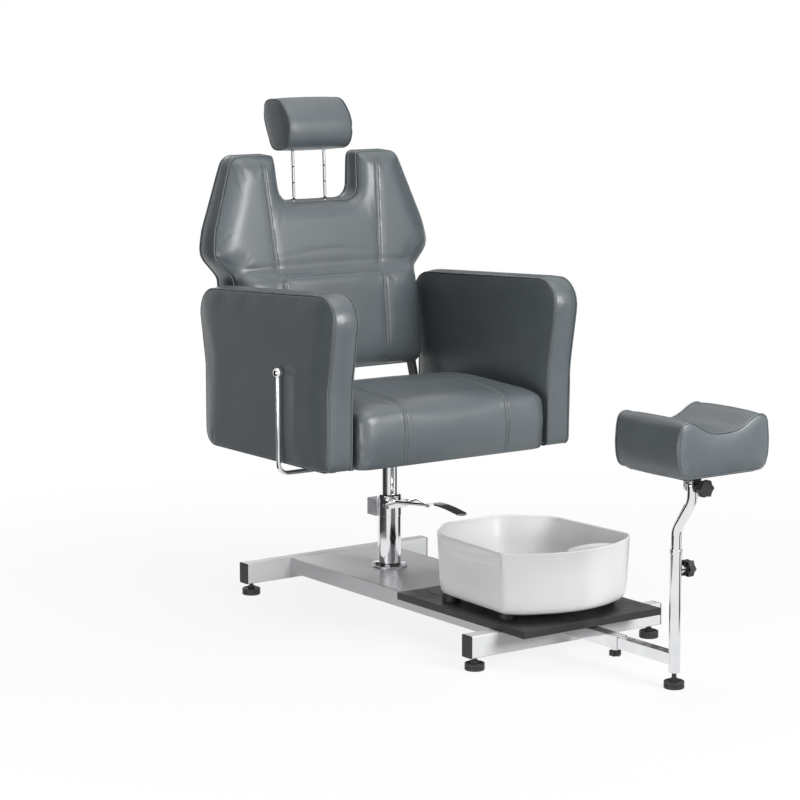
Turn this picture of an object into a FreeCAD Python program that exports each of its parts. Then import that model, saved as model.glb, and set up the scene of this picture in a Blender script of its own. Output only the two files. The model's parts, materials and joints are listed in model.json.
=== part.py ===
"""Pedicure chair station: reclining chair on a hydraulic column, foot basin on a tray, leg rest on a post.

Millimetres, +Z up. The sitter faces -Y, and the recline lever is on the sitter's right, -X.
Every piece is drawn from the column's axis. save() then carries it along Y by the post's distance,
so that the origin of the part is the middle of the underside of the front foot, on the floor.
"""

import FreeCAD, Part
import math
import os

os.makedirs("parts", exist_ok=True)
V = FreeCAD.Vector

# Fits and clearances
slide_fit = 0.08
pin_fit = 0.05
body_gap = 0.4
overrun = 2.0
touching = 0.001

# Overall layout, from the column's axis
rear_tube_y = 229.8
tube_spacing = 895.1
tube_to_post = 366.7

# Floor frame
tube_height = 50.0
tube_depth = 34.0
tube_wall = 2.0
tube_corner = 3.0
tube_lift = 29.2
cross_length = 542.0
cap_plate = 2.5
cap_plug = 9.0
spine_width = 284.0
spine_height = 37.6
spine_wall = 3.0
foot_radius = 22.0
foot_height = 16.0
foot_groove = 1.2
foot_groove_height = 2.4
foot_recess = 2.0
foot_stud_radius = 5.0
foot_nut_across = 17.0
foot_nut_height = 7.0
foot_inset = 22.0
foot_dish_share = 0.72

# Tray board
board_width = 387.2
board_length = 466.7
board_thickness = 16.5
board_overhang = 101.9
board_screw_radius = 2.5
board_screw_head_radius = 4.5
board_screw_head = 2.4
board_screw_length = 22.0
board_screw_inset = 60.0
board_screw_rear_inset = 30.0

# Foot basin
basin_height = 140.3
basin_wall = 3.0
basin_draft = 14.0
basin_half_width = 187.0
basin_length = 426.0
basin_on_board = 25.4
basin_rim_roll = 4.0
basin_rim_recess = 5.0
basin_recess_half = 50.0
basin_floor_radius = 14.0
grip_out = 13.0
grip_hem = 36.0
grip_hem_wall = 3.0
grip_top_drop = 3.0
grip_length = 221.0
grip_middle_share = 0.502
grip_arch_share = 0.42
grip_end_radius = 20.0
spout_half = 72.0
spout_depth = 26.0
spout_drop = 9.0
spout_thickness = 5.0
spout_lip = 6.0
basin_foot_radius = 21.0
basin_foot_height = 14.0
basin_foot_stud_radius = 3.0
basin_foot_x = 140.0
basin_foot_shares = (0.258, 0.737)

# Leg rest arm, post and pad
sleeve_width = 30.0
sleeve_height = 28.0
sleeve_wall = 1.5
sleeve_length = 180.0
sleeve_lift = 20.8
arm_engaged = 117.0
arm_wall = 2.0
set_bolt_radius = 4.0
set_bolt_back = 22.0
set_bolt_grip_radius = 13.0
set_bolt_grip_height = 12.0
post_radius = 12.5
post_wall = 1.4
post_lift = 18.0
post_length = 264.0
post_collar_height = 9.0
post_insert_height = 14.0
stem_wall = 1.5
stem_engaged = 146.0
bush_height = 12.0
bend_above_post = 44.0
bend_rise = 66.0
bend_offset = 47.0
bend_radius = 45.0
tilt_above_bend = 33.0
knob_corner_radius = 20.0
knob_valley_radius = 15.5
knob_thickness = 15.0
knob_hub_radius = 8.0
knob_hub_length = 6.0
knob_stem_radius = 4.0
knob_below_mouth = 44.0
boss_radius = 8.5
boss_length = 7.0
bracket_width = 80.0
bracket_depth = 60.0
bracket_thickness = 3.0
bracket_rise = 30.0
cheek_width = 24.0
cheek_drop = 13.0
tilt_bolt_radius = 4.0
tilt_bolt_head = 5.0
tilt_bolt_head_across = 13.0
pad_knob_out = 31.0
pad_half_width = 128.0
pad_corner_half_width = 113.0
pad_length = 210.0
pad_behind_tilt = 109.0
pad_height = 126.0
pad_trough = 35.0
pad_board = 12.0
pad_board_inset = 18.0
pad_screw_radius = 2.5
pad_screw_spread = 30.0
pad_screw_depth = 9.0

# Hydraulic column
flange_radius = 42.0
flange_thickness = 4.0
flange_bolt_circle = 33.0
flange_bolt_radius = 4.0
flange_bolt_across = 13.0
flange_bolt_head = 5.3
flange_bolt_length = 16.0
collar_radius = 25.0
collar_height = 6.8
collar_chamfer = 2.0
cylinder_radius = 28.0
cylinder_length = 115.0
cylinder_floor = 1.6
head_radius = 29.0
head_height = 52.0
head_chamfer = 3.0
piston_radius = 19.0
piston_down = 60.0
piston_shown = 83.0
spigot_radius = 15.0
spigot_length = 27.0
hub_height = 30.0
valve_width = 36.0
valve_length = 36.0
valve_height = 40.0
valve_start_y = 5.0
valve_screw_radius = 5.0
valve_screw_length = 10.0
valve_screw_drop = 7.0
pedal_pivot_y = -27.0
pedal_pivot_drop = 21.0
pedal_pin_radius = 3.0
pedal_boss_front = 9.0
pedal_boss_width = 56.0
pedal_boss_height = 18.0
pedal_eye_radius = 7.0
pedal_eye_width = 7.4
pedal_rod_radius = 3.5
pedal_knee_reach = 44.0
pedal_knee_rise = 14.0
pedal_join_reach = 128.0
pedal_join_rise = 17.0
pedal_blade_half_width = 13.0
pedal_blade_thickness = 4.0
pedal_blade_length = 141.0
pedal_blade_rise = 9.0
pedal_lug = 9.0

# Seat
seat_half_width = 270.0
seat_front_y = -269.0
seat_front_corner_back = 26.0
seat_rear_y = 175.0
seat_height = 139.0
seat_crown = 26.0
seat_edge_drop = 7.0
seat_rear_drop = 4.0
seat_nose_radius = 30.0
seat_edge_radius = 12.0
seat_front_bulge = 10.0
seat_seam_x = 146.0
seat_seam_half = 10.0
seat_seam_depth = 4.0
seat_side_round = 14.0
frame_side_inset = 20.0
frame_front_inset = 29.0
frame_rear_inset = 10.0
frame_panel = 18.0
frame_rail_width = 25.0
frame_rail_height = 45.0
slot_half_width = 17.0
slot_before_spring = 50.0
seat_plate_half = 95.0
seat_plate_thickness = 5.0
seat_plate_bolt_radius = 4.0
seat_plate_bolt_inset = 15.0
seat_plate_bolt_length = 16.0
seat_plate_bolt_head = 5.3
seat_plate_bolt_across = 13.0
hub_radius = 32.0

# Armrests
arm_gap = 7.0
arm_thickness = 76.0
arm_front_inset = 17.0
arm_depth = 520.0
arm_lift = 2.0
arm_height = 401.0
arm_swell = 8.0
arm_edge_draw = 5.0
core_thickness = 20.0
core_margin = 34.0
spacer_radius = 10.0
spacer_bolt_radius = 4.0
spacer_bolt_head = 5.3
spacer_bolt_across = 13.0
spacer_lift = 35.0

# Backrest
back_lift = 155.0
back_waist_height = 236.0
back_hip_height = 292.0
back_flank_height = 350.0
back_height = 527.0
back_side_gap = 9.0
back_hip_half = 318.0
back_flank_half = 308.0
back_shoulder_half = 243.0
back_base_corner = 34.0
back_hip_behind_hinge = 74.0
back_front_lean_share = 0.16
back_hip_thickness = 74.0
back_rear_lean_share = 0.045
crease_height = 249.0
lower_crown_base = 31.0
lower_crown_top = 50.0
upper_crown_base = 21.0
upper_crown_top = 28.0
crown_edge_draw = 42.0
crease_half = 1.2
crease_corner = 5.0
notch_half_width = 114.0
notch_mouth_half = 121.0
notch_depth = 115.0
notch_corner = 35.0
back_seam_half = 5.0
back_seam_depth = 5.0
back_seam_top_x = 167.0
back_seam_crease_x = 151.5
back_seam_low_x = 147.0
back_board_inset = 30.0
back_board_front_share = 0.45
back_board_rear_share = 0.62

# Recline mechanism
hinge_behind_seat = 30.0
hinge_lift = 30.0
hinge_pin_radius = 6.0
leg_to_bracket = 4.0
leg_thickness = 8.0
leg_width = 30.0
leg_eye_radius = 18.0
leg_rise = 235.0
torque_tube_radius = 11.0
torque_tube_wall = 2.5
hinge_plate = 5.0
hinge_plate_reach = 26.0
hinge_plate_height = 46.0
hinge_plate_lap = 30.0
recline_range_degrees = 35.0
crank_length = 38.0
crank_pin_radius = 4.0
crank_eye_radius = 8.0
crank_plate = 5.0
crank_plate_out = 5.0
spring_x = -150.0
spring_radius = 11.0
spring_wall = 2.5
spring_behind_lever = 26.0
spring_length = 192.0
spring_rod_radius = 4.0
spring_rod_engaged = 60.0
spring_eye_half = 4.0
spring_holder = 8.0
spring_holder_lap = 12.0
release_pin_radius = 3.0
release_pin_reach = 8.0
release_pin_flange = 5.0

# Recline lever
lever_y = -88.0
lever_drop = 17.0
lever_beside_arm = 22.0
lever_radius = 5.3
lever_bend = 24.0
lever_height = 226.0
lever_inner_x = -128.0
ball_radius = 12.0
bearing_width = 14.0
bearing_depth = 24.0
bearing_outer_inset = 18.0
bearing_beside_spring = 30.0
cam_width = 10.0
cam_thickness = 7.0

# Headrest
rest_post_x = 46.0
rest_post_radius = 4.0
rest_post_inset = 20.4
rest_post_lean_share = 0.040
rest_post_engaged = 104.0
rest_post_in_pillow = 85.0
rest_notch_step = 39.0
rest_notch_depth = 0.8
rest_notch_length = 3.0
guide_radius = 6.5
guide_length = 200.0
guide_flange_radius = 10.0
guide_flange = 3.0
pillow_half_length = 97.0
pillow_gap = 8.0
pillow_height = 125.0
pillow_depth = 124.0
pillow_before_posts = 61.0
pillow_end_draw = 9.0
pillow_end_round = 12.0
rest_bar_radius = 3.2

# Small shapes given as shares of the sizes above, and counts
arc_reach_share = 0.49
least_round_share = 0.35
nearly_straight_share = 0.05
grip_flutes = 6
flute_reach_share = 1.25
knob_points = 6
knob_round_share = 0.15
knob_pocket_share = 0.66
knob_pocket_round_share = 0.7
knob_bore_share = 0.6
tilt_bolt_share = 0.4
pad_side_share = 0.45
pad_shoulder_share = 0.06
pad_shoulder_round_share = 0.8
pad_rail_share = 0.66
pad_rail_draw_share = 0.6
pad_trough_edge_share = 0.42
pad_trough_rise_share = 0.1
pad_round_share = 0.3
screw_slot_start_share = 0.7
screw_slot_half_share = 0.15
pedal_rod_start_share = 0.08
blade_widening_share = 0.3
blade_tip_round_share = 0.7
seat_crown_place_share = 0.45
seat_nose_crown_share = 0.35
waist_round_share = 0.6
hip_round_share = 1.2
shoulder_round_share = 0.9
notch_mouth_round_share = 0.25
pin_head_share = 1.6
spring_eye_round_share = 0.6
ball_seat_share = 0.7
rest_bar_drop_share = 1.5
core_edge_shares = [1, 2, 2, 2, 2, 0.5]
spacer_shares = [0.12, 0.5, 0.88]

# Each seat station's draw, seam pull and crown, from the middle out to the side
seat_station_shares = [
    (0, 0, 1.0),
    (0, 0, 0.95),
    (0, 1, 0.95),
    (0, 0, 0.95),
    (0.12, 0, 0.8),
    (0.4, 0, 0.5),
    (1.0, 0, 0.0),
]

# Outlines given as shares of the sizes above
arm_outline_shares = [
    (0.0, 0.0, 0.03),
    (-0.008, 0.494, 0.37),
    (-0.076, 1.012, 0.155),
    (1.064, 0.935, 0.06),
    (1.0, 0.494, 0.37),
    (1.0, 0.0, 0.09),
]
arm_swell_shares = [0.4, 1.0, 1.0, 0.5, 0.4, 0.0]
arm_station_shares = [
    (0.0, -0.6),
    (0.04, 0.0),
    (0.24, 0.75),
    (0.5, 1.0),
    (0.76, 0.75),
    (0.96, 0.0),
    (1.0, -0.6),
]
basin_outline_shares = [
    (0.0, 0.0, 0.0),
    (0.45, 0.0, 0.30),
    (0.885, 0.165, 0.27),
    (1.0, 0.765, 0.45),
    (0.85, 0.915, 0.14),
    (0.42, 1.0, 0.55),
    (0.0, 1.0, 0.0),
]
pillow_outline_shares = [
    (0.34, 0.0, 0.30),
    (0.0, 0.22, 0.22),
    (0.06, 0.53, 0.35),
    (0.33, 1.0, 0.14),
    (0.96, 0.985, 0.13),
    (1.02, 0.62, 0.40),
    (0.66, 0.0, 0.20),
]
pillow_station_shares = [
    (-1.0, 0.75),
    (-0.94, 0.25),
    (-0.85, 0.0),
    (0.0, -0.12),
    (0.85, 0.0),
    (0.94, 0.25),
    (1.0, 0.75),
]
lower_edge_shares = [1, 0.12, 1, 1]
upper_edge_shares = [1, 1, 1, 0.7, 0.7, 0.7, 0.7, 0.7, 1, 1, 1, 0.12]
crown_step_shares = [(0.0, 0.0), (0.45, 0.10), (0.78, 0.36), (1.0, 1.0)]
pad_station_shares = [
    (0.0, 1.0),
    (0.05, 0.35),
    (0.12, 0.0),
    (0.5, -0.3),
    (0.88, 0.0),
    (0.95, 0.35),
    (1.0, 1.0),
]
pad_end_draw = 6.0
blade_station_shares = [0.0, 0.22, 0.45, 0.65, 1.0]
blade_rise_shares = [0.5, 1.0, 0.95, 0.7, -0.1]

# Worked out from the sizes above
front_tube_y = rear_tube_y - tube_spacing
tube_top_z = tube_lift + tube_height
board_top_z = tube_top_z + board_thickness
board_front_y = front_tube_y - board_overhang
board_rear_y = board_front_y + board_length
cross_half = cross_length / 2
spine_half = spine_width / 2
spine_rear_y = rear_tube_y - tube_depth / 2
spine_front_y = front_tube_y + tube_depth / 2
foot_seat_z = foot_height - foot_recess
basin_base_z = board_top_z + basin_foot_height
basin_rim_z = basin_base_z + basin_height
basin_rear_y = board_rear_y - basin_on_board
basin_front_y = basin_rear_y - basin_length
grip_middle_y = basin_rear_y - basin_length * grip_middle_share
sleeve_base_z = tube_lift + sleeve_lift
sleeve_rear_y = front_tube_y - tube_depth / 2
sleeve_front_y = sleeve_rear_y - sleeve_length
post_y = front_tube_y - tube_to_post
post_base_z = foot_height + post_lift
post_top_z = post_base_z + post_length
post_knob_z = post_top_z - knob_below_mouth
stem_radius = post_radius - post_wall - slide_fit
stem_base_z = post_top_z - stem_engaged
bend_start_z = post_top_z + bend_above_post
bend_end_z = bend_start_z + bend_rise
tilt_y = post_y - bend_offset
tilt_z = bend_end_z + tilt_above_bend
bracket_plate_z = tilt_z + bracket_rise
cheek_base_z = tilt_z - cheek_drop
pad_base_z = bracket_plate_z + bracket_thickness
pad_rail_z = pad_base_z + pad_height
pad_trough_z = pad_rail_z - pad_trough
pad_rear_y = tilt_y + pad_behind_tilt
pad_front_y = pad_rear_y - pad_length
collar_base_z = tube_top_z + flange_thickness
collar_top_z = collar_base_z + collar_height
cylinder_top_z = collar_top_z + cylinder_length
cylinder_bore = piston_radius + slide_fit
head_top_z = cylinder_top_z + head_height
piston_rest_z = collar_top_z + cylinder_floor + body_gap + piston_down
piston_shoulder_z = head_top_z + piston_shown
spigot_top_z = piston_shoulder_z + spigot_length
valve_base_z = cylinder_top_z
valve_screw_z = valve_base_z + valve_height - valve_screw_drop
pedal_pivot_z = head_top_z - pedal_pivot_drop
pedal_knee_y = pedal_pivot_y - pedal_knee_reach
pedal_knee_z = pedal_pivot_z + pedal_knee_rise
pedal_join_y = pedal_pivot_y - pedal_join_reach
pedal_join_z = pedal_pivot_z + pedal_join_rise
pedal_tip_y = pedal_join_y - pedal_blade_length
seat_plate_z = piston_shoulder_z + hub_height
seat_base_z = seat_plate_z + seat_plate_thickness
seat_edge_z = seat_base_z + seat_height
frame_half_width = seat_half_width - frame_side_inset
frame_front_y = seat_front_y + frame_front_inset
frame_rear_y = seat_rear_y - frame_rear_inset
frame_top_z = seat_base_z + frame_panel
arm_inner_x = seat_half_width + arm_gap
arm_middle_x = arm_inner_x + arm_thickness / 2
arm_front_y = seat_front_y + arm_front_inset
arm_base_z = seat_base_z + arm_lift
spacer_z = seat_base_z + spacer_lift
hinge_y = seat_rear_y + hinge_behind_seat
hinge_z = seat_base_z + hinge_lift
hinge_plate_x = frame_half_width
leg_inner_x = hinge_plate_x - leg_to_bracket - leg_thickness
leg_top_z = hinge_z + leg_rise
back_base_z = seat_base_z + back_lift
back_waist_z = back_base_z + back_waist_height
back_hip_z = back_base_z + back_hip_height
back_flank_z = back_base_z + back_flank_height
back_top_z = back_base_z + back_height
back_waist_half = arm_inner_x - back_side_gap
back_front_at_hip_y = hinge_y + back_hip_behind_hinge
back_rear_at_hip_y = back_front_at_hip_y + back_hip_thickness
crease_z = back_base_z + crease_height
notch_floor_z = back_top_z - notch_depth
crank_rest = math.radians(recline_range_degrees / 2)
crank_pin_y = hinge_y + crank_length * math.sin(crank_rest)
crank_pin_z = hinge_z - crank_length * math.cos(crank_rest)
crank_low_z = hinge_z - crank_length
spring_z = (crank_pin_z + crank_low_z) / 2
spring_front_y = lever_y + spring_behind_lever
spring_rear_y = spring_front_y + spring_length
slot_front_y = spring_front_y - slot_before_spring
lever_x = -(arm_inner_x + arm_thickness + lever_beside_arm)
lever_z = seat_base_z - lever_drop
lever_top_z = lever_z + lever_height
ball_z = lever_top_z + ball_radius * ball_seat_share
bearing_outer_x = bearing_outer_inset - frame_half_width
bearing_inner_x = spring_x - bearing_beside_spring
pillow_low_z = back_top_z + pillow_gap
rest_post_base_z = notch_floor_z - rest_post_engaged
rest_post_top_z = pillow_low_z + rest_post_in_pillow
guide_base_z = notch_floor_z - guide_length


# Helpers


def save(name, shape):
    """Write one piece, carried from the column's axis to the front foot's."""
    placed = shape.copy()
    placed.translate(V(0, -post_y, 0))
    placed.exportStep("parts/" + name + ".step")
    solids = placed.Solids
    state = "valid" if placed.isValid() else "NOT VALID"
    print(name, len(solids), "solids", round(placed.Volume), "mm3", state)


def box(x0, x1, y0, y1, z0, z1):
    return Part.makeBox(x1 - x0, y1 - y0, z1 - z0, V(x0, y0, z0))


def rod(start, end, radius):
    run = end - start
    return Part.makeCylinder(radius, run.Length, start, run)


def upright(x, y, z0, z1, radius):
    return rod(V(x, y, z0), V(x, y, z1), radius)


def along_x(x0, x1, y, z, radius):
    return rod(V(x0, y, z), V(x1, y, z), radius)


def along_y(y0, y1, x, z, radius):
    return rod(V(x, y0, z), V(x, y1, z), radius)


def join(shapes):
    """One solid from pieces that touch or overlap."""
    whole = shapes[0]
    for shape in shapes[1:]:
        whole = whole.fuse(shape)
    return whole.removeSplitter()


def group(shapes):
    """Separate solids that share one node."""
    return Part.makeCompound([solid for shape in shapes for solid in shape.Solids])


def flat_xy(z):
    return lambda u, v: V(u, v, z)


def flat_xz(y):
    return lambda u, v: V(u, y, v)


def flat_yz(x):
    return lambda u, v: V(x, u, v)


def outline(corners, place):
    """A closed wire through corners (u, v, radius), each turned by a tangent arc."""
    arcs = []
    count = len(corners)
    for i in range(count):
        u, v, radius = corners[i]
        before = V(corners[i - 1][0] - u, corners[i - 1][1] - v, 0)
        after = V(corners[(i + 1) % count][0] - u, corners[(i + 1) % count][1] - v, 0)
        turn = before.getAngle(after)
        here = V(u, v, 0)
        if radius < touching or math.pi - turn < touching:
            arcs.append((here, None, here))
            continue
        reach = min(radius / math.tan(turn / 2), before.Length * arc_reach_share, after.Length * arc_reach_share)
        used = reach * math.tan(turn / 2)
        before.normalize()
        after.normalize()
        middle = before + after
        middle.normalize()
        start = here + before * reach
        end = here + after * reach
        arcs.append((start, here + middle * (used / math.sin(turn / 2) - used), end))
    edges = []
    for i in range(count):
        start, middle, end = arcs[i]
        if middle is not None:
            arc = [place(point.x, point.y) for point in (start, middle, end)]
            edges.append(Part.Arc(*arc).toShape())
        following = arcs[(i + 1) % count][0]
        if (following - end).Length > touching:
            edges.append(Part.LineSegment(place(end.x, end.y), place(following.x, following.y)).toShape())
    return Part.Wire(edges)


def drawn_in(corners, inset, shares):
    """The corners moved inwards by inset times each edge's share; edge i runs from corner i to the next."""
    count = len(corners)
    area = 0
    for i in range(count):
        following = corners[(i + 1) % count]
        area += corners[i][0] * following[1] - following[0] * corners[i][1]
    side = 1 if area > 0 else -1
    moved = []
    for i in range(count):
        u, v, radius = corners[i]
        before = V(u - corners[i - 1][0], v - corners[i - 1][1], 0)
        after = V(corners[(i + 1) % count][0] - u, corners[(i + 1) % count][1] - v, 0)
        before.normalize()
        after.normalize()
        normal_before = V(-before.y * side, before.x * side, 0)
        normal_after = V(-after.y * side, after.x * side, 0)
        step_before = inset * shares[i - 1]
        step_after = inset * shares[i]
        bend = before.x * after.y - before.y * after.x
        if abs(bend) < nearly_straight_share:
            shift = (normal_before + normal_after) * ((step_before + step_after) / 4)
        else:
            along = (step_after - step_before * normal_before.dot(normal_after)) / before.dot(normal_after)
            shift = normal_before * step_before + before * along
        convex = bend * side > 0
        round_off = radius - inset if convex else radius + inset
        least = radius * least_round_share if radius > touching else 0
        moved.append((u + shift.x, v + shift.y, max(round_off, least) if least else 0))
    return moved


def prism(corners, place_start, place_end):
    """A solid between the same outline in two planes."""
    return loft([outline(corners, place_start), outline(corners, place_end)])


def loft(wires):
    return Part.makeLoft(wires, True, True)


def hexagon(x, y, z0, z1, across):
    """An upright hexagonal prism, measured across its flats."""
    corner = across / math.sqrt(3)
    angles = [math.radians(60 * i) for i in range(7)]
    points = [V(x + corner * math.cos(angle), y + corner * math.sin(angle), z0) for angle in angles]
    return Part.Face(Part.makePolygon(points)).extrude(V(0, 0, z1 - z0))


def turned(shape, axis, degrees, about):
    copy = shape.copy()
    copy.rotate(about, axis, degrees)
    return copy


def channel(u_size, v_size, wall, u0, v0):
    """Corners of a rectangle from (u0, v0), and of the bore inside its wall."""
    outer = [(u0, v0, 0), (u0 + u_size, v0, 0), (u0 + u_size, v0 + v_size, 0), (u0, v0 + v_size, 0)]
    inner = [
        (u0 + wall, v0 + wall, 0),
        (u0 + u_size - wall, v0 + wall, 0),
        (u0 + u_size - wall, v0 + v_size - wall, 0),
        (u0 + wall, v0 + v_size - wall, 0),
    ]
    return outer, inner


def rounded(corners, radius):
    return [(u, v, radius) for u, v, _ in corners]


# Floor frame


def cross_tube(y):
    """A rectangular steel tube across the floor frame, with a nut welded over each foot's hole."""
    outer, inner = channel(tube_depth, tube_height, tube_wall, y - tube_depth / 2, tube_lift)
    half = cross_half - cap_plate
    shell = prism(rounded(outer, tube_corner), flat_yz(-half), flat_yz(half))
    bore = prism(inner, flat_yz(-half - overrun), flat_yz(half + overrun))
    tube = shell.cut(bore)
    nut_top_z = tube_lift + tube_wall + foot_nut_height
    for side in (-1, 1):
        x = side * (cross_half - foot_inset)
        tube = tube.fuse(hexagon(x, y, tube_lift + tube_wall, nut_top_z, foot_nut_across))
        tube = tube.cut(upright(x, y, tube_lift - overrun, nut_top_z + overrun, foot_stud_radius + pin_fit))
    if y == front_tube_y:
        for x, screw_y in board_screw_places():
            tube = tube.cut(board_screw(x, screw_y))
    return tube.removeSplitter()


def end_cap(y, side):
    """A moulded cap: a plate over the tube's end and a plug that grips its bore."""
    outer, inner = channel(tube_depth, tube_height, tube_wall, y - tube_depth / 2, tube_lift)
    half = cross_half
    plate = prism(rounded(outer, tube_corner), flat_yz(side * (half - cap_plate)), flat_yz(side * half))
    plug_outer, plug_inner = channel(
        tube_depth - 2 * (tube_wall + pin_fit),
        tube_height - 2 * (tube_wall + pin_fit),
        tube_wall,
        y - tube_depth / 2 + tube_wall + pin_fit,
        tube_lift + tube_wall + pin_fit,
    )
    start = side * (half - cap_plate - cap_plug)
    end = side * (half - cap_plate / 2)
    plug = prism(plug_outer, flat_yz(start), flat_yz(end))
    hollow = prism(plug_inner, flat_yz(start - side * overrun), flat_yz(side * (half - cap_plate)))
    return join([plate, plug.cut(hollow)])


def spine_plate():
    """A folded channel, open below, that ties the two cross tubes together and carries the column."""
    base_z = tube_top_z - spine_height
    shell = box(-spine_half, spine_half, spine_front_y, spine_rear_y, base_z, tube_top_z)
    room = box(
        -spine_half + spine_wall,
        spine_half - spine_wall,
        spine_front_y - overrun,
        spine_rear_y + overrun,
        base_z - overrun,
        tube_top_z - spine_wall,
    )
    plate = shell.cut(room)
    for x, y in flange_bolt_places():
        plate = plate.cut(upright(x, y, base_z, tube_top_z + overrun, flange_bolt_radius + pin_fit))
    for x, y in board_screw_places():
        plate = plate.cut(board_screw(x, y))
    return plate


def foot_places():
    across = cross_half - foot_inset
    return [(side * across, y) for y in (rear_tube_y, front_tube_y) for side in (-1, 1)]


def rims(shape, z):
    """The round edges of an upright piece at one height."""
    level = [edge for edge in shape.Edges if edge.BoundBox.ZLength < touching]
    return [edge for edge in level if abs(edge.BoundBox.ZMax - z) < touching]


def levelling_foot(x, y, top_z):
    """A disc moulded on a threaded stud, with a groove round it, a dished top and a nut in the dish."""
    disc = upright(x, y, 0, foot_height, foot_radius)
    disc = disc.makeChamfer(foot_groove, rims(disc, 0) + rims(disc, foot_height))
    middle = foot_height / 2
    half = foot_groove_height / 2
    groove = upright(x, y, middle - half, middle + half, foot_radius + overrun)
    groove = groove.cut(upright(x, y, 0, foot_height, foot_radius - foot_groove))
    dish = upright(x, y, foot_seat_z, foot_height + overrun, foot_radius * foot_dish_share)
    nut = hexagon(x, y, foot_seat_z, foot_seat_z + foot_nut_height, foot_nut_across)
    stud = upright(x, y, foot_seat_z - overrun, top_z, foot_stud_radius)
    return join([disc.cut(groove).cut(dish), nut, stud])


# Tray board


def board_screw_places():
    x = board_width / 2 - board_screw_inset
    rows = (front_tube_y, board_rear_y - board_screw_rear_inset)
    return [(side * x, y) for y in rows for side in (-1, 1)]


def board_screw(x, y):
    head_z = board_top_z - board_screw_head
    head = Part.makeCone(board_screw_radius, board_screw_head_radius, board_screw_head, V(x, y, head_z))
    shank = upright(x, y, board_top_z - board_screw_length, head_z, board_screw_radius)
    return join([shank, head])


def tray_board():
    board = box(-board_width / 2, board_width / 2, board_front_y, board_rear_y, tube_top_z, board_top_z)
    for x, y in board_screw_places():
        board = board.cut(board_screw(x, y))
    return board


# Foot basin


def basin_corners():
    """The plan outline at the rim, widest towards the front foot, drawn for both sides."""
    length = basin_rear_y - basin_front_y
    half = [
        (basin_half_width * across, basin_rear_y - length * along, basin_half_width * turn)
        for across, along, turn in basin_outline_shares
    ]
    return half[1:-1] + [(-x, y, radius) for x, y, radius in reversed(half[1:-1])]


def basin_ring(inset, z):
    corners = basin_corners()
    return outline(drawn_in(corners, inset, [1] * len(corners)), flat_xy(z))


def basin_outside():
    return loft([basin_ring(basin_draft, basin_base_z), basin_ring(0, basin_rim_z)])


def basin_inside():
    """The hollow: a rounded floor, sides that follow the outside, and the space above the rim."""
    floor_z = basin_base_z + basin_wall
    side_z = floor_z + basin_floor_radius
    draft_at_floor = basin_draft * (basin_rim_z - floor_z) / basin_height
    draft_at_side = basin_draft * (basin_rim_z - side_z) / basin_height
    hollow = loft(
        [
            basin_ring(basin_wall + draft_at_floor + basin_floor_radius / 2, floor_z),
            basin_ring(basin_wall + draft_at_side, side_z),
            basin_ring(basin_wall, basin_rim_z),
        ]
    )
    above = loft([basin_ring(basin_wall, basin_rim_z), basin_ring(basin_wall, basin_rim_z + overrun)])
    return hollow.fuse(above)


def basin_lip():
    """The thickened edge that runs round the rim."""
    roll = basin_rim_roll
    outer = loft([basin_ring(-roll, basin_rim_z - roll), basin_ring(-roll, basin_rim_z)])
    low_z = basin_rim_z - basin_rim_roll - overrun
    inner = loft([basin_ring(basin_wall / 2, low_z), basin_ring(basin_wall / 2, basin_rim_z + overrun)])
    return outer.cut(inner)


def basin_spout(outside):
    """The ledge inside the front of the rim, with a low lip."""
    inner_y = basin_front_y + spout_depth
    top_z = basin_rim_z - spout_drop
    ledge = box(-spout_half, spout_half, basin_front_y, inner_y, top_z - spout_thickness, top_z)
    lip_top_z = top_z + spout_lip / 2
    lip = box(-spout_half, spout_half, inner_y - basin_wall, inner_y, top_z - overrun, lip_top_z)
    return ledge.fuse(lip).common(outside)


def basin():
    outside = basin_outside()
    inside = basin_inside()
    shell = outside.cut(inside)
    shell = shell.fuse(basin_lip())
    shell = shell.fuse(basin_spout(outside))
    for side in (-1, 1):
        shell = shell.fuse(basin_grip(side, outside).cut(inside))
    reach = basin_wall + basin_rim_roll + overrun
    recess = box(
        -basin_recess_half,
        basin_recess_half,
        basin_rear_y - reach,
        basin_rear_y + reach,
        basin_rim_z - basin_rim_recess,
        basin_rim_z + overrun,
    )
    shell = shell.cut(recess)
    for x, y in basin_foot_places():
        hole_top = basin_base_z + basin_wall + overrun
        shell = shell.cut(upright(x, y, basin_base_z - overrun, hole_top, basin_foot_stud_radius))
    return shell.removeSplitter()


def basin_side_x(y, z):
    """Half-width of the basin's straight side at a place along it."""
    corners = basin_corners()
    rear_x, rear_y = corners[1][0], corners[1][1]
    front_x, front_y = corners[2][0], corners[2][1]
    at_rim = rear_x + (front_x - rear_x) * (y - rear_y) / (front_y - rear_y)
    return at_rim - basin_draft * (basin_rim_z - z) / (basin_rim_z - basin_base_z)


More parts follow.
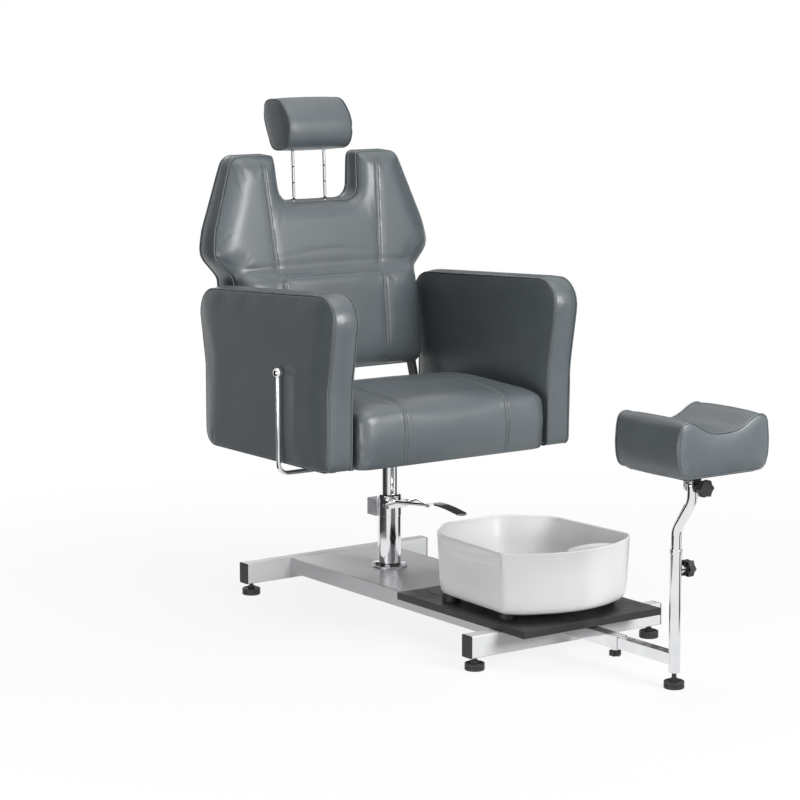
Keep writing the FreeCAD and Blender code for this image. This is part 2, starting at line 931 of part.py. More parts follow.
def basin_grip(side, outside):
    """A flange along the rim with a hem turned down, to put the fingers under."""
    rear_y = grip_middle_y + grip_length / 2
    front_y = grip_middle_y - grip_length / 2
    top_z = basin_rim_z - grip_top_drop
    low_z = top_z - grip_hem
    rear_x = basin_side_x(rear_y, top_z)
    front_x = basin_side_x(front_y, top_z)
    deep = basin_half_width / 4
    block = [
        (side * (rear_x - deep), rear_y, 0),
        (side * (rear_x + grip_out), rear_y, grip_out),
        (side * (front_x + grip_out), front_y, grip_out),
        (side * (front_x - deep), front_y, 0),
    ]
    hem = grip_hem_wall
    room = [
        (side * (rear_x - deep * 2), rear_y - hem, 0),
        (side * (rear_x + grip_out - hem), rear_y - hem, grip_out - hem),
        (side * (front_x + grip_out - hem), front_y + hem, grip_out - hem),
        (side * (front_x - deep * 2), front_y + hem, 0),
    ]
    grip = prism(block, flat_xy(low_z), flat_xy(top_z))
    grip = grip.cut(prism(room, flat_xy(low_z - overrun), flat_xy(top_z - hem)).cut(outside))
    arch_z = low_z + grip_hem * grip_arch_share
    quarter = grip_length / 4
    arch = [
        (rear_y - grip_end_radius, low_z - overrun, 0),
        (grip_middle_y + quarter, arch_z, grip_end_radius * 2),
        (grip_middle_y - quarter, arch_z, grip_end_radius * 2),
        (front_y + grip_end_radius, low_z - overrun, 0),
    ]
    far = side * (basin_half_width + grip_out * 3)
    return grip.cut(prism(arch, flat_yz(side * basin_half_width / 2), flat_yz(far)).cut(outside))


def basin_foot_places():
    rows = [basin_rear_y - basin_length * share for share in basin_foot_shares]
    return [(side * basin_foot_x, y) for y in rows for side in (-1, 1)]


def basin_foot(x, y):
    base_z = basin_base_z - basin_foot_height
    disc = upright(x, y, base_z, basin_base_z, basin_foot_radius)
    peg = upright(x, y, basin_base_z - overrun, basin_base_z + basin_wall, basin_foot_stud_radius)
    return join([disc, peg])


# Leg rest


def arm_sleeve():
    outer, inner = channel(sleeve_width, sleeve_height, sleeve_wall, -sleeve_width / 2, sleeve_base_z)
    shell = prism(outer, flat_xz(sleeve_rear_y), flat_xz(sleeve_front_y))
    bore = prism(inner, flat_xz(sleeve_rear_y + overrun), flat_xz(sleeve_front_y - overrun))
    bolt_y = sleeve_front_y + set_bolt_back
    boss = upright(0, bolt_y, sleeve_base_z - boss_length, sleeve_base_z + sleeve_wall / 2, boss_radius)
    hole = upright(
        0,
        bolt_y,
        sleeve_base_z - boss_length - overrun,
        sleeve_base_z + sleeve_wall + overrun,
        set_bolt_radius + pin_fit,
    )
    return join([shell.cut(bore), boss]).cut(hole)


def set_bolt():
    """The hand bolt under the sleeve that locks how far the leg rest reaches."""
    y = sleeve_front_y + set_bolt_back
    top_z = sleeve_base_z + sleeve_wall
    grip_top = sleeve_base_z - boss_length - body_gap
    shank = upright(0, y, grip_top - overrun, top_z, set_bolt_radius)
    grip = upright(0, y, grip_top - set_bolt_grip_height, grip_top, set_bolt_grip_radius)
    for i in range(grip_flutes):
        angle = math.tau * i / grip_flutes
        reach = set_bolt_grip_radius * flute_reach_share
        x = reach * math.cos(angle)
        flute_y = y + reach * math.sin(angle)
        flute_base = grip_top - set_bolt_grip_height - overrun
        flute = upright(x, flute_y, flute_base, grip_top + overrun, set_bolt_grip_radius / 2)
        grip = grip.cut(flute)
    return join([shank, grip])


def leg_rest_arm():
    """The square tube that slides in the sleeve, with the post welded across its end."""
    room = sleeve_wall + slide_fit * 2
    width = sleeve_width - 2 * room
    height = sleeve_height - 2 * room
    outer, inner = channel(width, height, arm_wall, -width / 2, sleeve_base_z + room)
    rear_y = sleeve_front_y + arm_engaged
    shell = prism(outer, flat_xz(rear_y), flat_xz(post_y))
    bore = prism(inner, flat_xz(rear_y + overrun), flat_xz(post_y - overrun))
    arm = shell.cut(bore)
    return arm.cut(upright(0, post_y, 0, post_top_z, post_radius))


def leg_rest_post():
    """The outer post: a threaded insert, a collar at its mouth and a boss for the clamp knob."""
    tube = upright(0, post_y, post_base_z, post_top_z, post_radius)
    collar_radius_here = post_radius + post_wall / 2
    collar = upright(0, post_y, post_top_z - post_collar_height, post_top_z, collar_radius_here)
    boss = along_x(0, post_radius + boss_length, post_y, post_knob_z, boss_radius)
    whole = join([tube, collar, boss])
    insert_top_z = post_base_z + post_insert_height
    bore = upright(0, post_y, insert_top_z, post_top_z + overrun, post_radius - post_wall)
    thread = upright(0, post_y, post_base_z - overrun, insert_top_z + overrun, foot_stud_radius + pin_fit)
    hole = along_x(0, post_radius + boss_length + overrun, post_y, post_knob_z, knob_stem_radius + pin_fit)
    return whole.cut(bore).cut(thread).cut(hole)


def stem_path():
    """The centre line of the bent inner tube: up, across towards the front, and up again."""
    low = V(0, post_y, stem_base_z + bush_height)
    first = V(0, post_y, bend_start_z)
    second = V(0, tilt_y, bend_end_z)
    top = V(0, tilt_y, tilt_z)
    return [low, first, second, top]


def bent_rod(points, radii, radius):
    """A round bar along straight runs joined by tangent arcs."""
    edges = []
    last = points[0]
    for i in range(1, len(points) - 1):
        here = points[i]
        before = points[i - 1] - here
        after = points[i + 1] - here
        turn = before.getAngle(after)
        bend = radii[i - 1]
        reach = bend / math.tan(turn / 2)
        before.normalize()
        after.normalize()
        middle = before + after
        middle.normalize()
        start = here + before * reach
        end = here + after * reach
        edges.append(Part.LineSegment(last, start).toShape())
        edges.append(Part.Arc(start, here + middle * (bend / math.sin(turn / 2) - bend), end).toShape())
        last = end
    edges.append(Part.LineSegment(last, points[-1]).toShape())
    circle = Part.Wire([Part.makeCircle(radius, points[0], points[1] - points[0])])
    return Part.Wire(edges).makePipeShell([circle], True, False)


def leg_rest_stem():
    points = stem_path()
    outside = bent_rod(points, [bend_radius, bend_radius], stem_radius)
    inside = bent_rod(points, [bend_radius, bend_radius], stem_radius - stem_wall)
    tip = upright(0, tilt_y, tilt_z - stem_radius, tilt_z, stem_radius)
    crown = Part.makeSphere(stem_radius, V(0, tilt_y, tilt_z))
    reach = stem_radius + overrun
    hole = along_y(tilt_y - reach, tilt_y + reach, 0, tilt_z, tilt_bolt_radius + pin_fit)
    return join([outside.cut(inside), tip, crown]).cut(hole)


def stem_bush():
    """The guide ring under the inner tube, which slides in the post while the tube turns on it."""
    top_z = stem_base_z + bush_height
    ring = upright(0, post_y, stem_base_z, top_z, post_radius - post_wall - slide_fit)
    bore = upright(0, post_y, stem_base_z - overrun, top_z + overrun, stem_radius - stem_wall)
    return ring.cut(bore)


def star_knob(stem_reach):
    """A six-pointed clamp knob on +X, drawn at the origin, with a threaded stem towards -X."""
    points = []
    for i in range(2 * knob_points):
        angle = math.pi * i / knob_points
        size = knob_corner_radius if i % 2 == 0 else knob_valley_radius
        radius = knob_valley_radius * knob_round_share
        points.append((size * math.cos(angle), size * math.sin(angle), radius))
    body = prism(points, flat_yz(0), flat_yz(knob_thickness))
    hub = along_x(-knob_hub_length, 0, 0, 0, knob_hub_radius)
    pockets = []
    reach = knob_corner_radius * knob_pocket_share
    pocket_radius = knob_stem_radius * knob_pocket_round_share
    for i in range(knob_points):
        angle = math.tau * i / knob_points
        u, v = reach * math.cos(angle), reach * math.sin(angle)
        pockets.append(along_x(-overrun, knob_thickness / 3, u, v, pocket_radius))
    head = join([body, hub])
    for pocket in pockets:
        head = head.cut(pocket)
    stem_end = knob_thickness * knob_bore_share
    bore = along_x(-knob_hub_length - overrun, stem_end, 0, 0, knob_stem_radius)
    stem = along_x(-stem_reach, stem_end, 0, 0, knob_stem_radius)
    return head.cut(bore), stem


def post_knob():
    face = post_radius + boss_length + knob_hub_length + body_gap
    head, stem = star_knob(face - stem_radius - body_gap)
    place = V(face, post_y, post_knob_z)
    head.translate(place)
    stem.translate(place)
    return head, stem


def pad_bracket():
    """A folded fork: a plate screwed under the pad and two cheeks astride the stem's eye."""
    plate = box(
        -bracket_width / 2,
        bracket_width / 2,
        tilt_y - bracket_depth / 2,
        tilt_y + bracket_depth / 2,
        bracket_plate_z,
        bracket_plate_z + bracket_thickness,
    )
    cheek_gap = stem_radius + body_gap
    pieces = [plate]
    for side in (-1, 1):
        near = tilt_y + side * cheek_gap
        far = near + side * bracket_thickness
        corners = [
            (-cheek_width / 2, cheek_base_z, cheek_width / 2 - touching),
            (cheek_width / 2, cheek_base_z, cheek_width / 2 - touching),
            (cheek_width / 2, bracket_plate_z + bracket_thickness / 2, 0),
            (-cheek_width / 2, bracket_plate_z + bracket_thickness / 2, 0),
        ]
        pieces.append(prism(corners, flat_xz(near), flat_xz(far)))
    bracket = join(pieces)
    reach = cheek_gap + bracket_thickness + overrun
    bracket = bracket.cut(along_y(tilt_y - reach, tilt_y + reach, 0, tilt_z, tilt_bolt_radius))
    for x, y in pad_screw_places():
        bracket = bracket.cut(
            upright(x, y, bracket_plate_z - overrun, pad_base_z + overrun, pad_screw_radius)
        )
    return bracket


def tilt_bolt():
    """The bolt through the fork and the stem's eye, its head at the rear and its thread under the knob."""
    rear = tilt_y + stem_radius + body_gap + bracket_thickness
    front = tilt_y - pad_knob_out
    tip = front - knob_thickness * tilt_bolt_share
    shank = along_y(tip, rear, 0, tilt_z, tilt_bolt_radius - pin_fit)
    head = hexagon(0, 0, 0, tilt_bolt_head, tilt_bolt_head_across)
    head.rotate(V(0, 0, 0), V(1, 0, 0), -90)
    head.translate(V(0, rear, tilt_z))
    return join([shank, head])


def pad_knob():
    """The clamp knob that runs on the tilt bolt, facing the front."""
    head, _ = star_knob(knob_hub_length)
    head.rotate(V(0, 0, 0), V(0, 0, 1), -90)
    head.translate(V(0, tilt_y - pad_knob_out, tilt_z))
    hub_end = tilt_y - stem_radius - body_gap * 2 - bracket_thickness
    seat_y = tilt_y - pad_knob_out
    spacer = along_y(seat_y + knob_hub_length - overrun, hub_end, 0, tilt_z, knob_hub_radius)
    bore_end = seat_y - knob_thickness * knob_bore_share
    bore = along_y(bore_end, hub_end + overrun, 0, tilt_z, tilt_bolt_radius)
    return join([head, spacer]).cut(bore)


def pad_screw_places():
    return [(sx * pad_screw_spread, tilt_y + sy * bracket_depth / 3) for sx in (-1, 1) for sy in (-1, 1)]


def pad_screw(x, y):
    head = upright(x, y, bracket_plate_z - board_screw_head, bracket_plate_z, board_screw_head_radius)
    shank_base = bracket_plate_z - board_screw_head / 2
    return join([head, upright(x, y, shank_base, pad_base_z + pad_screw_depth, pad_screw_radius)])


def pad_corners(draw):
    """The pad's cross-section: full sides, two rails and the trough a calf lies in."""
    half = pad_half_width - draw
    low_half = pad_corner_half_width - draw
    side_z = pad_base_z + pad_height * pad_side_share
    shoulder_z = pad_rail_z - pad_height * pad_shoulder_share - draw / 2
    rail_x = pad_half_width * pad_rail_share
    trough_z = pad_trough_z + pad_trough * pad_trough_rise_share
    radius = pad_half_width * pad_round_share
    right = [
        (low_half, pad_base_z, draw + pad_board_inset / 3),
        (half, side_z, radius),
        (low_half, shoulder_z, pad_board_inset * pad_shoulder_round_share),
        (rail_x, pad_rail_z - draw * pad_rail_draw_share, radius),
        (rail_x * pad_trough_edge_share, trough_z - draw, radius),
    ]
    left = [(-x, z, radius) for x, z, radius in reversed(right)]
    return right + left


def leg_rest_pad():
    length = pad_front_y - pad_rear_y
    wires = []
    for along, draw in pad_station_shares:
        wires.append(outline(pad_corners(pad_end_draw * draw), flat_xz(pad_rear_y + length * along)))
    pad = loft(wires)
    pad = pad.cut(leg_rest_board_blank())
    for x, y in pad_screw_places():
        pad = pad.cut(upright(x, y, pad_base_z - overrun, pad_base_z + pad_board, pad_screw_radius))
    return pad


def leg_rest_board_blank():
    inset = pad_board_inset
    half = pad_corner_half_width - inset
    return box(-half, half, pad_front_y + inset, pad_rear_y - inset, pad_base_z, pad_base_z + pad_board)


def leg_rest_board():
    board = leg_rest_board_blank()
    hole_top_z = pad_base_z + pad_screw_depth
    for x, y in pad_screw_places():
        board = board.cut(upright(x, y, pad_base_z - overrun, hole_top_z, pad_screw_radius))
    return board


# Hydraulic column


def flange_bolt_places():
    reach = flange_bolt_circle / math.sqrt(2)
    return [(x, y) for x, y in ((reach, reach), (-reach, reach), (-reach, -reach), (reach, -reach))]


def pump_flange():
    flange = upright(0, 0, tube_top_z, tube_top_z + flange_thickness, flange_radius)
    for x, y in flange_bolt_places():
        hole_radius = flange_bolt_radius + pin_fit
        flange = flange.cut(upright(x, y, tube_top_z - overrun, collar_base_z + overrun, hole_radius))
    return flange


def flange_bolt(x, y):
    seat_z = tube_top_z + flange_thickness
    head = hexagon(x, y, seat_z, seat_z + flange_bolt_head, flange_bolt_across)
    return join([head, upright(x, y, seat_z - flange_bolt_length, seat_z, flange_bolt_radius)])


def pump_collar():
    collar = upright(0, 0, collar_base_z, collar_top_z, collar_radius)
    return collar.makeChamfer(collar_chamfer, rims(collar, collar_top_z))


def pump_cylinder():
    floor_z = collar_top_z + cylinder_floor
    body = upright(0, 0, collar_top_z, cylinder_top_z, cylinder_radius)
    return body.cut(upright(0, 0, floor_z, cylinder_top_z + overrun, cylinder_bore))


def pump_head():
    """The pump's head: the piston slides up through it, and the pedal pivots on a lug at its front."""
    body = upright(0, 0, cylinder_top_z, head_top_z, head_radius)
    body = body.makeChamfer(head_chamfer, rims(body, head_top_z))
    lug = box(
        -pedal_boss_width / 2,
        pedal_boss_width / 2,
        pedal_pivot_y - pedal_boss_front,
        0,
        pedal_pivot_z - pedal_boss_height / 2,
        pedal_pivot_z + pedal_boss_height / 2,
    )
    bore = upright(0, 0, cylinder_top_z - overrun, head_top_z + overrun, cylinder_bore)
    pin = along_x(-pedal_boss_width, pedal_boss_width, pedal_pivot_y, pedal_pivot_z, pedal_pin_radius)
    return join([body, lug]).cut(bore).cut(pin)


def pedal_pin():
    reach = pedal_boss_width / 2 + body_gap + pedal_eye_width
    return along_x(-reach, reach, pedal_pivot_y, pedal_pivot_z, pedal_pin_radius)


def valve_block():
    block = box(
        -valve_width,
        0,
        valve_start_y,
        valve_start_y + valve_length,
        valve_base_z,
        valve_base_z + valve_height,
    )
    screw = along_y(
        valve_start_y + valve_length - valve_screw_length,
        valve_start_y + valve_length + overrun,
        -valve_width / 2,
        valve_screw_z,
        valve_screw_radius / 2,
    )
    return block.cut(upright(0, 0, valve_base_z - overrun, head_top_z, head_radius)).cut(screw)


def valve_screw():
    face = valve_start_y + valve_length
    x = -valve_width / 2
    head = along_y(face, face + valve_screw_radius, x, valve_screw_z, valve_screw_radius)
    shank = along_y(face - valve_screw_length, face, x, valve_screw_z, valve_screw_radius / 2)
    slot = box(
        x - valve_screw_radius,
        x + valve_screw_radius,
        face + valve_screw_radius * screw_slot_start_share,
        face + valve_screw_radius + overrun,
        valve_screw_z - valve_screw_radius * screw_slot_half_share,
        valve_screw_z + valve_screw_radius * screw_slot_half_share,
    )
    return join([head, shank]).cut(slot)


def pump_pedal():
    """Two bent rods from the pivot, joined under an arched blade."""
    eye_x = pedal_boss_width / 2 + body_gap
    pieces = []
    for side in (-1, 1):
        near = side * eye_x
        far = side * (eye_x + pedal_eye_width)
        middle = (near + far) / 2
        pieces.append(along_x(near, far, pedal_pivot_y, pedal_pivot_z, pedal_eye_radius))
        start = V(middle, pedal_pivot_y, pedal_pivot_z)
        knee = V(middle, pedal_knee_y, pedal_knee_z)
        end = V(0, pedal_join_y, pedal_join_z)
        start = start + (knee - start) * pedal_rod_start_share
        pieces.append(rod(start, knee, pedal_rod_radius))
        pieces.append(Part.makeSphere(pedal_rod_radius, knee))
        pieces.append(rod(knee, end, pedal_rod_radius))
    pieces.append(Part.makeSphere(pedal_rod_radius, V(0, pedal_join_y, pedal_join_z)))
    pieces.append(pedal_blade())
    lug = box(
        -pedal_rod_radius,
        pedal_rod_radius,
        pedal_join_y - pedal_lug,
        pedal_join_y + pedal_lug / 2,
        pedal_join_z - pedal_lug / 2,
        pedal_join_z + pedal_rod_radius,
    )
    pieces.append(lug)
    reach = eye_x + pedal_boss_width
    pin_room = along_x(-reach, reach, pedal_pivot_y, pedal_pivot_z, pedal_pin_radius + pin_fit)
    return join(pieces).cut(pin_room)


def pedal_blade():
    """The arched plate that the foot presses, narrowed and rounded at its tip."""
    length = pedal_tip_y - pedal_join_y
    base_z = pedal_join_z
    top = []
    for along, rise in zip(blade_station_shares, blade_rise_shares):
        top.append((pedal_join_y + length * along, base_z + pedal_blade_rise * rise))
    profile = [(y, z + pedal_blade_thickness / 2, pedal_blade_half_width * 2) for y, z in top]
    profile += [(y, z - pedal_blade_thickness / 2, pedal_blade_half_width * 2) for y, z in reversed(top)]
    for i in (0, len(top) - 1, len(top), len(profile) - 1):
        profile[i] = (*profile[i][:2], 0)
    slab = prism(profile, flat_yz(-pedal_blade_half_width), flat_yz(pedal_blade_half_width))
    wide_y = pedal_join_y + length * blade_widening_share
    tip_radius = pedal_blade_half_width * blade_tip_round_share
    plan = [
        (-pedal_rod_radius * 2, pedal_join_y, 0),
        (-pedal_blade_half_width, wide_y, pedal_blade_half_width * 3),
        (-pedal_blade_half_width, pedal_tip_y, tip_radius),
        (pedal_blade_half_width, pedal_tip_y, tip_radius),
        (pedal_blade_half_width, wide_y, pedal_blade_half_width * 3),
        (pedal_rod_radius * 2, pedal_join_y, 0),
    ]
    reach = pedal_blade_rise * 3
    return slab.common(prism(plan, flat_xy(base_z - reach), flat_xy(base_z + reach)))


def piston():
    shaft = upright(0, 0, piston_rest_z, piston_shoulder_z, piston_radius)
    return join([shaft, upright(0, 0, piston_shoulder_z - overrun, spigot_top_z, spigot_radius)])


# Seat


def seat_corners(draw, pull, crown):
    """The seat cushion's side view at one station: drawn in at its edges, pulled down at its seams."""
    front = seat_front_y + draw + pull
    rear = seat_rear_y - draw / 2
    base = seat_base_z
    edge = seat_edge_z - draw / 2 - pull
    crown_y = rear + (front - rear) * seat_crown_place_share
    return [
        (rear, base, seat_edge_radius),
        (rear, edge - seat_rear_drop, seat_edge_radius * 2),
        (crown_y, edge + crown - pull, seat_nose_radius * 12),
        (front + seat_nose_radius, edge + crown * seat_nose_crown_share, seat_nose_radius * 3),
        (front, edge - seat_edge_drop, seat_nose_radius),
        (front - seat_front_bulge, (base + edge) / 2, seat_nose_radius * 4),
        (front, base, seat_edge_radius),
    ]


def seat_stations():
    """Places across the seat, each with how far it is drawn in, pulled down and crowned."""
    half = seat_half_width
    places = [
        0,
        seat_seam_x - seat_seam_half,
        seat_seam_x,
        seat_seam_x + seat_seam_half,
        half - seat_side_round * 3,
        half - seat_side_round,
        half,
    ]
    right = [(x, *shares) for x, shares in zip(places, seat_station_shares)]
    return [(-x, draw, pull, crown) for x, draw, pull, crown in reversed(right[1:])] + right


def seat_cushion():
    wires = []
    for x, draw, pull, crown in seat_stations():
        corners = seat_corners(draw * seat_front_corner_back, pull * seat_seam_depth, crown * seat_crown)
        wires.append(outline(corners, flat_yz(x)))
    cushion = loft(wires)
    cushion = cushion.cut(seat_frame_blank())
    for x0, x1 in ((-seat_half_width, -frame_half_width), (frame_half_width, seat_half_width)):
        for y in spacer_places():
            cushion = cushion.cut(along_x(x0 - overrun, x1 + overrun, y, spacer_z, spacer_radius))
    for side in (-1, 1):
        cushion = cushion.cut(hinge_bracket_blank(side))
    return cushion.cut(spring_slot(frame_top_z))


def spring_slot(top_z):
    return box(
        spring_x - slot_half_width,
        spring_x + slot_half_width,
        slot_front_y,
        seat_rear_y + overrun,
        seat_base_z - overrun,
        top_z,
    )


def seat_frame_blank():
    """The seat's base panel with its side and rear rails."""
    panel = box(-frame_half_width, frame_half_width, frame_front_y, frame_rear_y, seat_base_z, frame_top_z)
    rail_top = frame_top_z + frame_rail_height
    half = frame_half_width
    rail_x = half - frame_rail_width
    rail_y = frame_rear_y - frame_rail_width
    sides = [
        box(-half, -rail_x, frame_front_y, frame_rear_y, frame_top_z, rail_top),
        box(rail_x, half, frame_front_y, frame_rear_y, frame_top_z, rail_top),
        box(-half, half, rail_y, frame_rear_y, frame_top_z, rail_top),
    ]
    return join([panel] + sides)


def seat_frame():
    frame = seat_frame_blank().cut(spring_slot(frame_top_z))
    for side in (-1, 1):
        inside = side * (frame_half_width - frame_rail_width - overrun)
        outside = side * (frame_half_width + overrun)
        x0, x1 = sorted((inside, outside))
        for y in spacer_places():
            frame = frame.cut(along_x(x0, x1, y, spacer_z, spacer_bolt_radius))
    for x, y in seat_plate_bolt_places():
        bolt_end = seat_base_z + seat_plate_bolt_length
        frame = frame.cut(upright(x, y, seat_base_z - overrun, bolt_end, seat_plate_bolt_radius))
    return frame


def seat_plate_bolt_places():
    reach = seat_plate_half - seat_plate_bolt_inset
    return [(sx * reach, sy * reach) for sx in (-1, 1) for sy in (-1, 1)]


def seat_plate():
    """The mounting plate under the seat, with the hub that the piston's spigot carries."""
    plate = box(
        -seat_plate_half, seat_plate_half, -seat_plate_half, seat_plate_half, seat_plate_z, seat_base_z
    )
    hub = upright(0, 0, piston_shoulder_z, seat_plate_z + overrun, hub_radius)
    whole = join([plate, hub])
    socket_radius = spigot_radius + slide_fit
    whole = whole.cut(upright(0, 0, piston_shoulder_z - overrun, spigot_top_z + body_gap, socket_radius))
    for x, y in seat_plate_bolt_places():
        hole = upright(x, y, seat_plate_z - overrun, seat_base_z + overrun, seat_plate_bolt_radius)
        whole = whole.cut(hole)
    return whole


def seat_plate_bolt(x, y):
    head = hexagon(x, y, seat_plate_z - seat_plate_bolt_head, seat_plate_z, seat_plate_bolt_across)
    shank_top = seat_base_z + seat_plate_bolt_length - seat_plate_bolt_head
    shank = upright(x, y, seat_plate_z - overrun, shank_top, seat_plate_bolt_radius)
    return join([head, shank])


# Armrests


def arm_corners():
    return [
        (arm_front_y + arm_depth * along, arm_base_z + arm_height * up, arm_height * turn)
        for along, up, turn in arm_outline_shares
    ]


def armrest(side):
    corners = arm_corners()
    wires = []
    for across, swell in arm_station_shares:
        size = arm_swell if swell > 0 else arm_edge_draw
        shares = arm_swell_shares if swell > 0 else [1] * len(corners)
        moved = drawn_in(corners, -swell * size, shares) if swell else corners
        wires.append(outline(moved, flat_yz(side * (arm_inner_x + arm_thickness * across))))
    arm = loft(wires)
    arm = arm.cut(arm_core_blank(side))
    for y in spacer_places():
        x0, x1 = sorted((side * (arm_inner_x - overrun), side * (arm_middle_x - core_thickness / 2)))
        arm = arm.cut(along_x(x0, x1, y, spacer_z, spacer_radius))
        x0, x1 = sorted((side * arm_middle_x, side * (arm_middle_x + core_thickness)))
        arm = arm.cut(along_x(x0, x1, y, spacer_z, spacer_radius))
    return arm


def arm_core_blank(side):
    corners = drawn_in(arm_corners(), core_margin / 2, core_edge_shares)
    inner = side * (arm_middle_x - core_thickness / 2)
    outer = side * (arm_middle_x + core_thickness / 2)
    return prism([(y, z, 0) for y, z, _ in corners], flat_yz(inner), flat_yz(outer))


def arm_core(side):
    core = arm_core_blank(side)
    for y in spacer_places():
        x0, x1 = sorted((side * arm_inner_x, side * (arm_middle_x + core_thickness)))
        core = core.cut(along_x(x0, x1, y, spacer_z, spacer_bolt_radius))
    return core


def spacer_places():
    span = frame_rear_y - frame_front_y
    return [frame_front_y + span * share for share in spacer_shares]


def arm_spacer(side, y):
    """The sleeve that holds an armrest clear of the seat, round its bolt."""
    x0, x1 = sorted((side * frame_half_width, side * (arm_middle_x - core_thickness / 2)))
    sleeve = along_x(x0, x1, y, spacer_z, spacer_radius)
    return sleeve.cut(along_x(x0 - overrun, x1 + overrun, y, spacer_z, spacer_bolt_radius))


def arm_bolt(side, y):
    far = arm_middle_x + core_thickness / 2
    near = frame_half_width - frame_rail_width
    x0, x1 = sorted((side * near, side * (far + spacer_bolt_head / 2)))
    shank = along_x(x0, x1, y, spacer_z, spacer_bolt_radius)
    head = hexagon(0, 0, 0, spacer_bolt_head, spacer_bolt_across)
    head.rotate(V(0, 0, 0), V(0, 1, 0), side * 90)
    head.translate(V(side * far, y, spacer_z))
    return join([shank, head])


# Backrest


def front_y(z):
    return back_front_at_hip_y + back_front_lean_share * (z - back_hip_z)


def rear_y(z):
    return back_rear_at_hip_y + back_rear_lean_share * (z - back_hip_z)


def through_back(share):
    """A leaning plane inside the backrest, from its front edge, 0, to its rear face, 1."""
    return lambda x, z: V(x, front_y(z) + (rear_y(z) - front_y(z)) * share, z)


def both_sides(half):
    return half + [(-x, z, radius) for x, z, radius in reversed(half)]


def back_lower_half():
    return [
        (back_waist_half, back_base_z, back_base_corner),
        (back_waist_half, back_waist_z, back_base_corner * waist_round_share),
    ]


def back_upper_half():
    return [
        (back_hip_half, back_hip_z, back_base_corner * hip_round_share),
        (back_flank_half, back_flank_z, back_base_corner * 4),
        (back_shoulder_half, back_top_z, back_base_corner * shoulder_round_share),
        (notch_mouth_half, back_top_z, notch_corner * notch_mouth_round_share),
        (notch_half_width, notch_floor_z, notch_corner),
    ]


def back_corners():
    return both_sides(back_lower_half() + back_upper_half())


def crease_x(z):
    """Half-width of the outline between the waist and the hip."""
    rise = (z - back_waist_z) / (back_hip_z - back_waist_z)
    return back_waist_half + (back_hip_half - back_waist_half) * rise


def crown_plane(low_z, low_crown, high_z, high_crown, share):
    """A plane in front of the edge plane by a share of the crown, which changes evenly with height."""
    slope = (high_crown - low_crown) / (high_z - low_z)
    return lambda x, z: V(x, front_y(z) - share * (low_crown + slope * (z - low_z)), z)


def crowned(corners, shares, low_z, low_crown, high_z, high_crown):
    wires = []
    for forward, draw in crown_step_shares:
        moved = drawn_in(corners, crown_edge_draw * draw, shares) if draw else corners
        wires.append(outline(moved, crown_plane(low_z, low_crown, high_z, high_crown, forward)))
    return loft(wires)


def lower_crown():
    crease = crease_z - crease_half
    right = [(back_waist_half, back_base_z, back_base_corner), (back_waist_half, crease, crease_corner)]
    heights = (back_base_z, lower_crown_base, crease_z, lower_crown_top)
    return crowned(both_sides(right), lower_edge_shares, *heights)


def upper_crown():
    crease = crease_z + crease_half
    right = [(crease_x(crease), crease, crease_corner)] + back_upper_half()
    heights = (crease_z, upper_crown_base, back_top_z, upper_crown_top)
    return crowned(both_sides(right), upper_edge_shares, *heights)


def seam_groove(low, high, depth_low, depth_high):
    """A sewn channel up the backrest's face, from one place (x, z) to another."""
    solids = []
    for side in (-1, 1):
        points = []
        for (x, z), crown in ((low, depth_low), (high, depth_high)):
            y = front_y(z) - crown
            points.append((side * x, y, z))
        wires = []
        for x, y, z in points:
            ring = [
                V(x - back_seam_half, y - overrun * 4, z),
                V(x + back_seam_half, y - overrun * 4, z),
                V(x, y + back_seam_depth, z),
                V(x - back_seam_half, y - overrun * 4, z),
            ]
            wires.append(Part.makePolygon(ring))
        solids.append(Part.makeLoft(wires, True, True))
    return solids


def backrest_cushion():
    body = prism(back_corners(), through_back(0), through_back(1))
    cushion = body.fuse(lower_crown()).fuse(upper_crown())
    grooves = seam_groove(
        (back_seam_low_x, back_base_z - overrun),
        (back_seam_low_x, crease_z),
        lower_crown_base,
        lower_crown_top,
    ) + seam_groove(
        (back_seam_crease_x, crease_z),
        (back_seam_top_x, back_top_z + overrun),
        upper_crown_base,
        upper_crown_top,
    )
    for groove in grooves:
        cushion = cushion.cut(groove)
    cushion = cushion.cut(back_board_blank())
    for side in (-1, 1):
        cushion = cushion.cut(back_leg_blank(side))
    cushion = cushion.cut(cross_bar())
    for side in (-1, 1):
        cushion = cushion.cut(guide_hole(side))
    return cushion.removeSplitter()


def back_board_blank():
    corners = drawn_in(back_corners(), back_board_inset, [1] * len(back_corners()))
    plain = [(x, z, 0) for x, z, _ in corners]
    return prism(plain, through_back(back_board_front_share), through_back(back_board_rear_share))


def back_board():
    board = back_board_blank()
    for side in (-1, 1):
        board = board.cut(back_leg_blank(side))
        board = board.cut(guide_hole(side))
    return board.cut(cross_bar())


def back_board_y(z):
    return front_y(z) + (rear_y(z) - front_y(z)) * back_board_front_share


def back_leg_blank(side):
    """A flat bar from the hinge's eye up to the backrest's board."""
    top_y = back_board_y(leg_top_z) - leg_width / 2
    corners = [
        (hinge_y - leg_width / 2, hinge_z, 0),
        (hinge_y + leg_width / 2, hinge_z, 0),
        (top_y + leg_width / 2, leg_top_z, leg_thickness),
        (top_y - leg_width / 2, leg_top_z, leg_thickness),
    ]
    inner = side * leg_inner_x
    outer = side * (leg_inner_x + leg_thickness)
    bar = prism(corners, flat_yz(inner), flat_yz(outer))
    x0, x1 = sorted((inner, outer))
    return join([bar, along_x(x0, x1, hinge_y, hinge_z, leg_eye_radius)])


def back_leg(side):
    x0, x1 = sorted((side * leg_inner_x, side * (leg_inner_x + leg_thickness)))
    return back_leg_blank(side).cut(along_x(x0 - overrun, x1 + overrun, hinge_y, hinge_z, hinge_pin_radius))


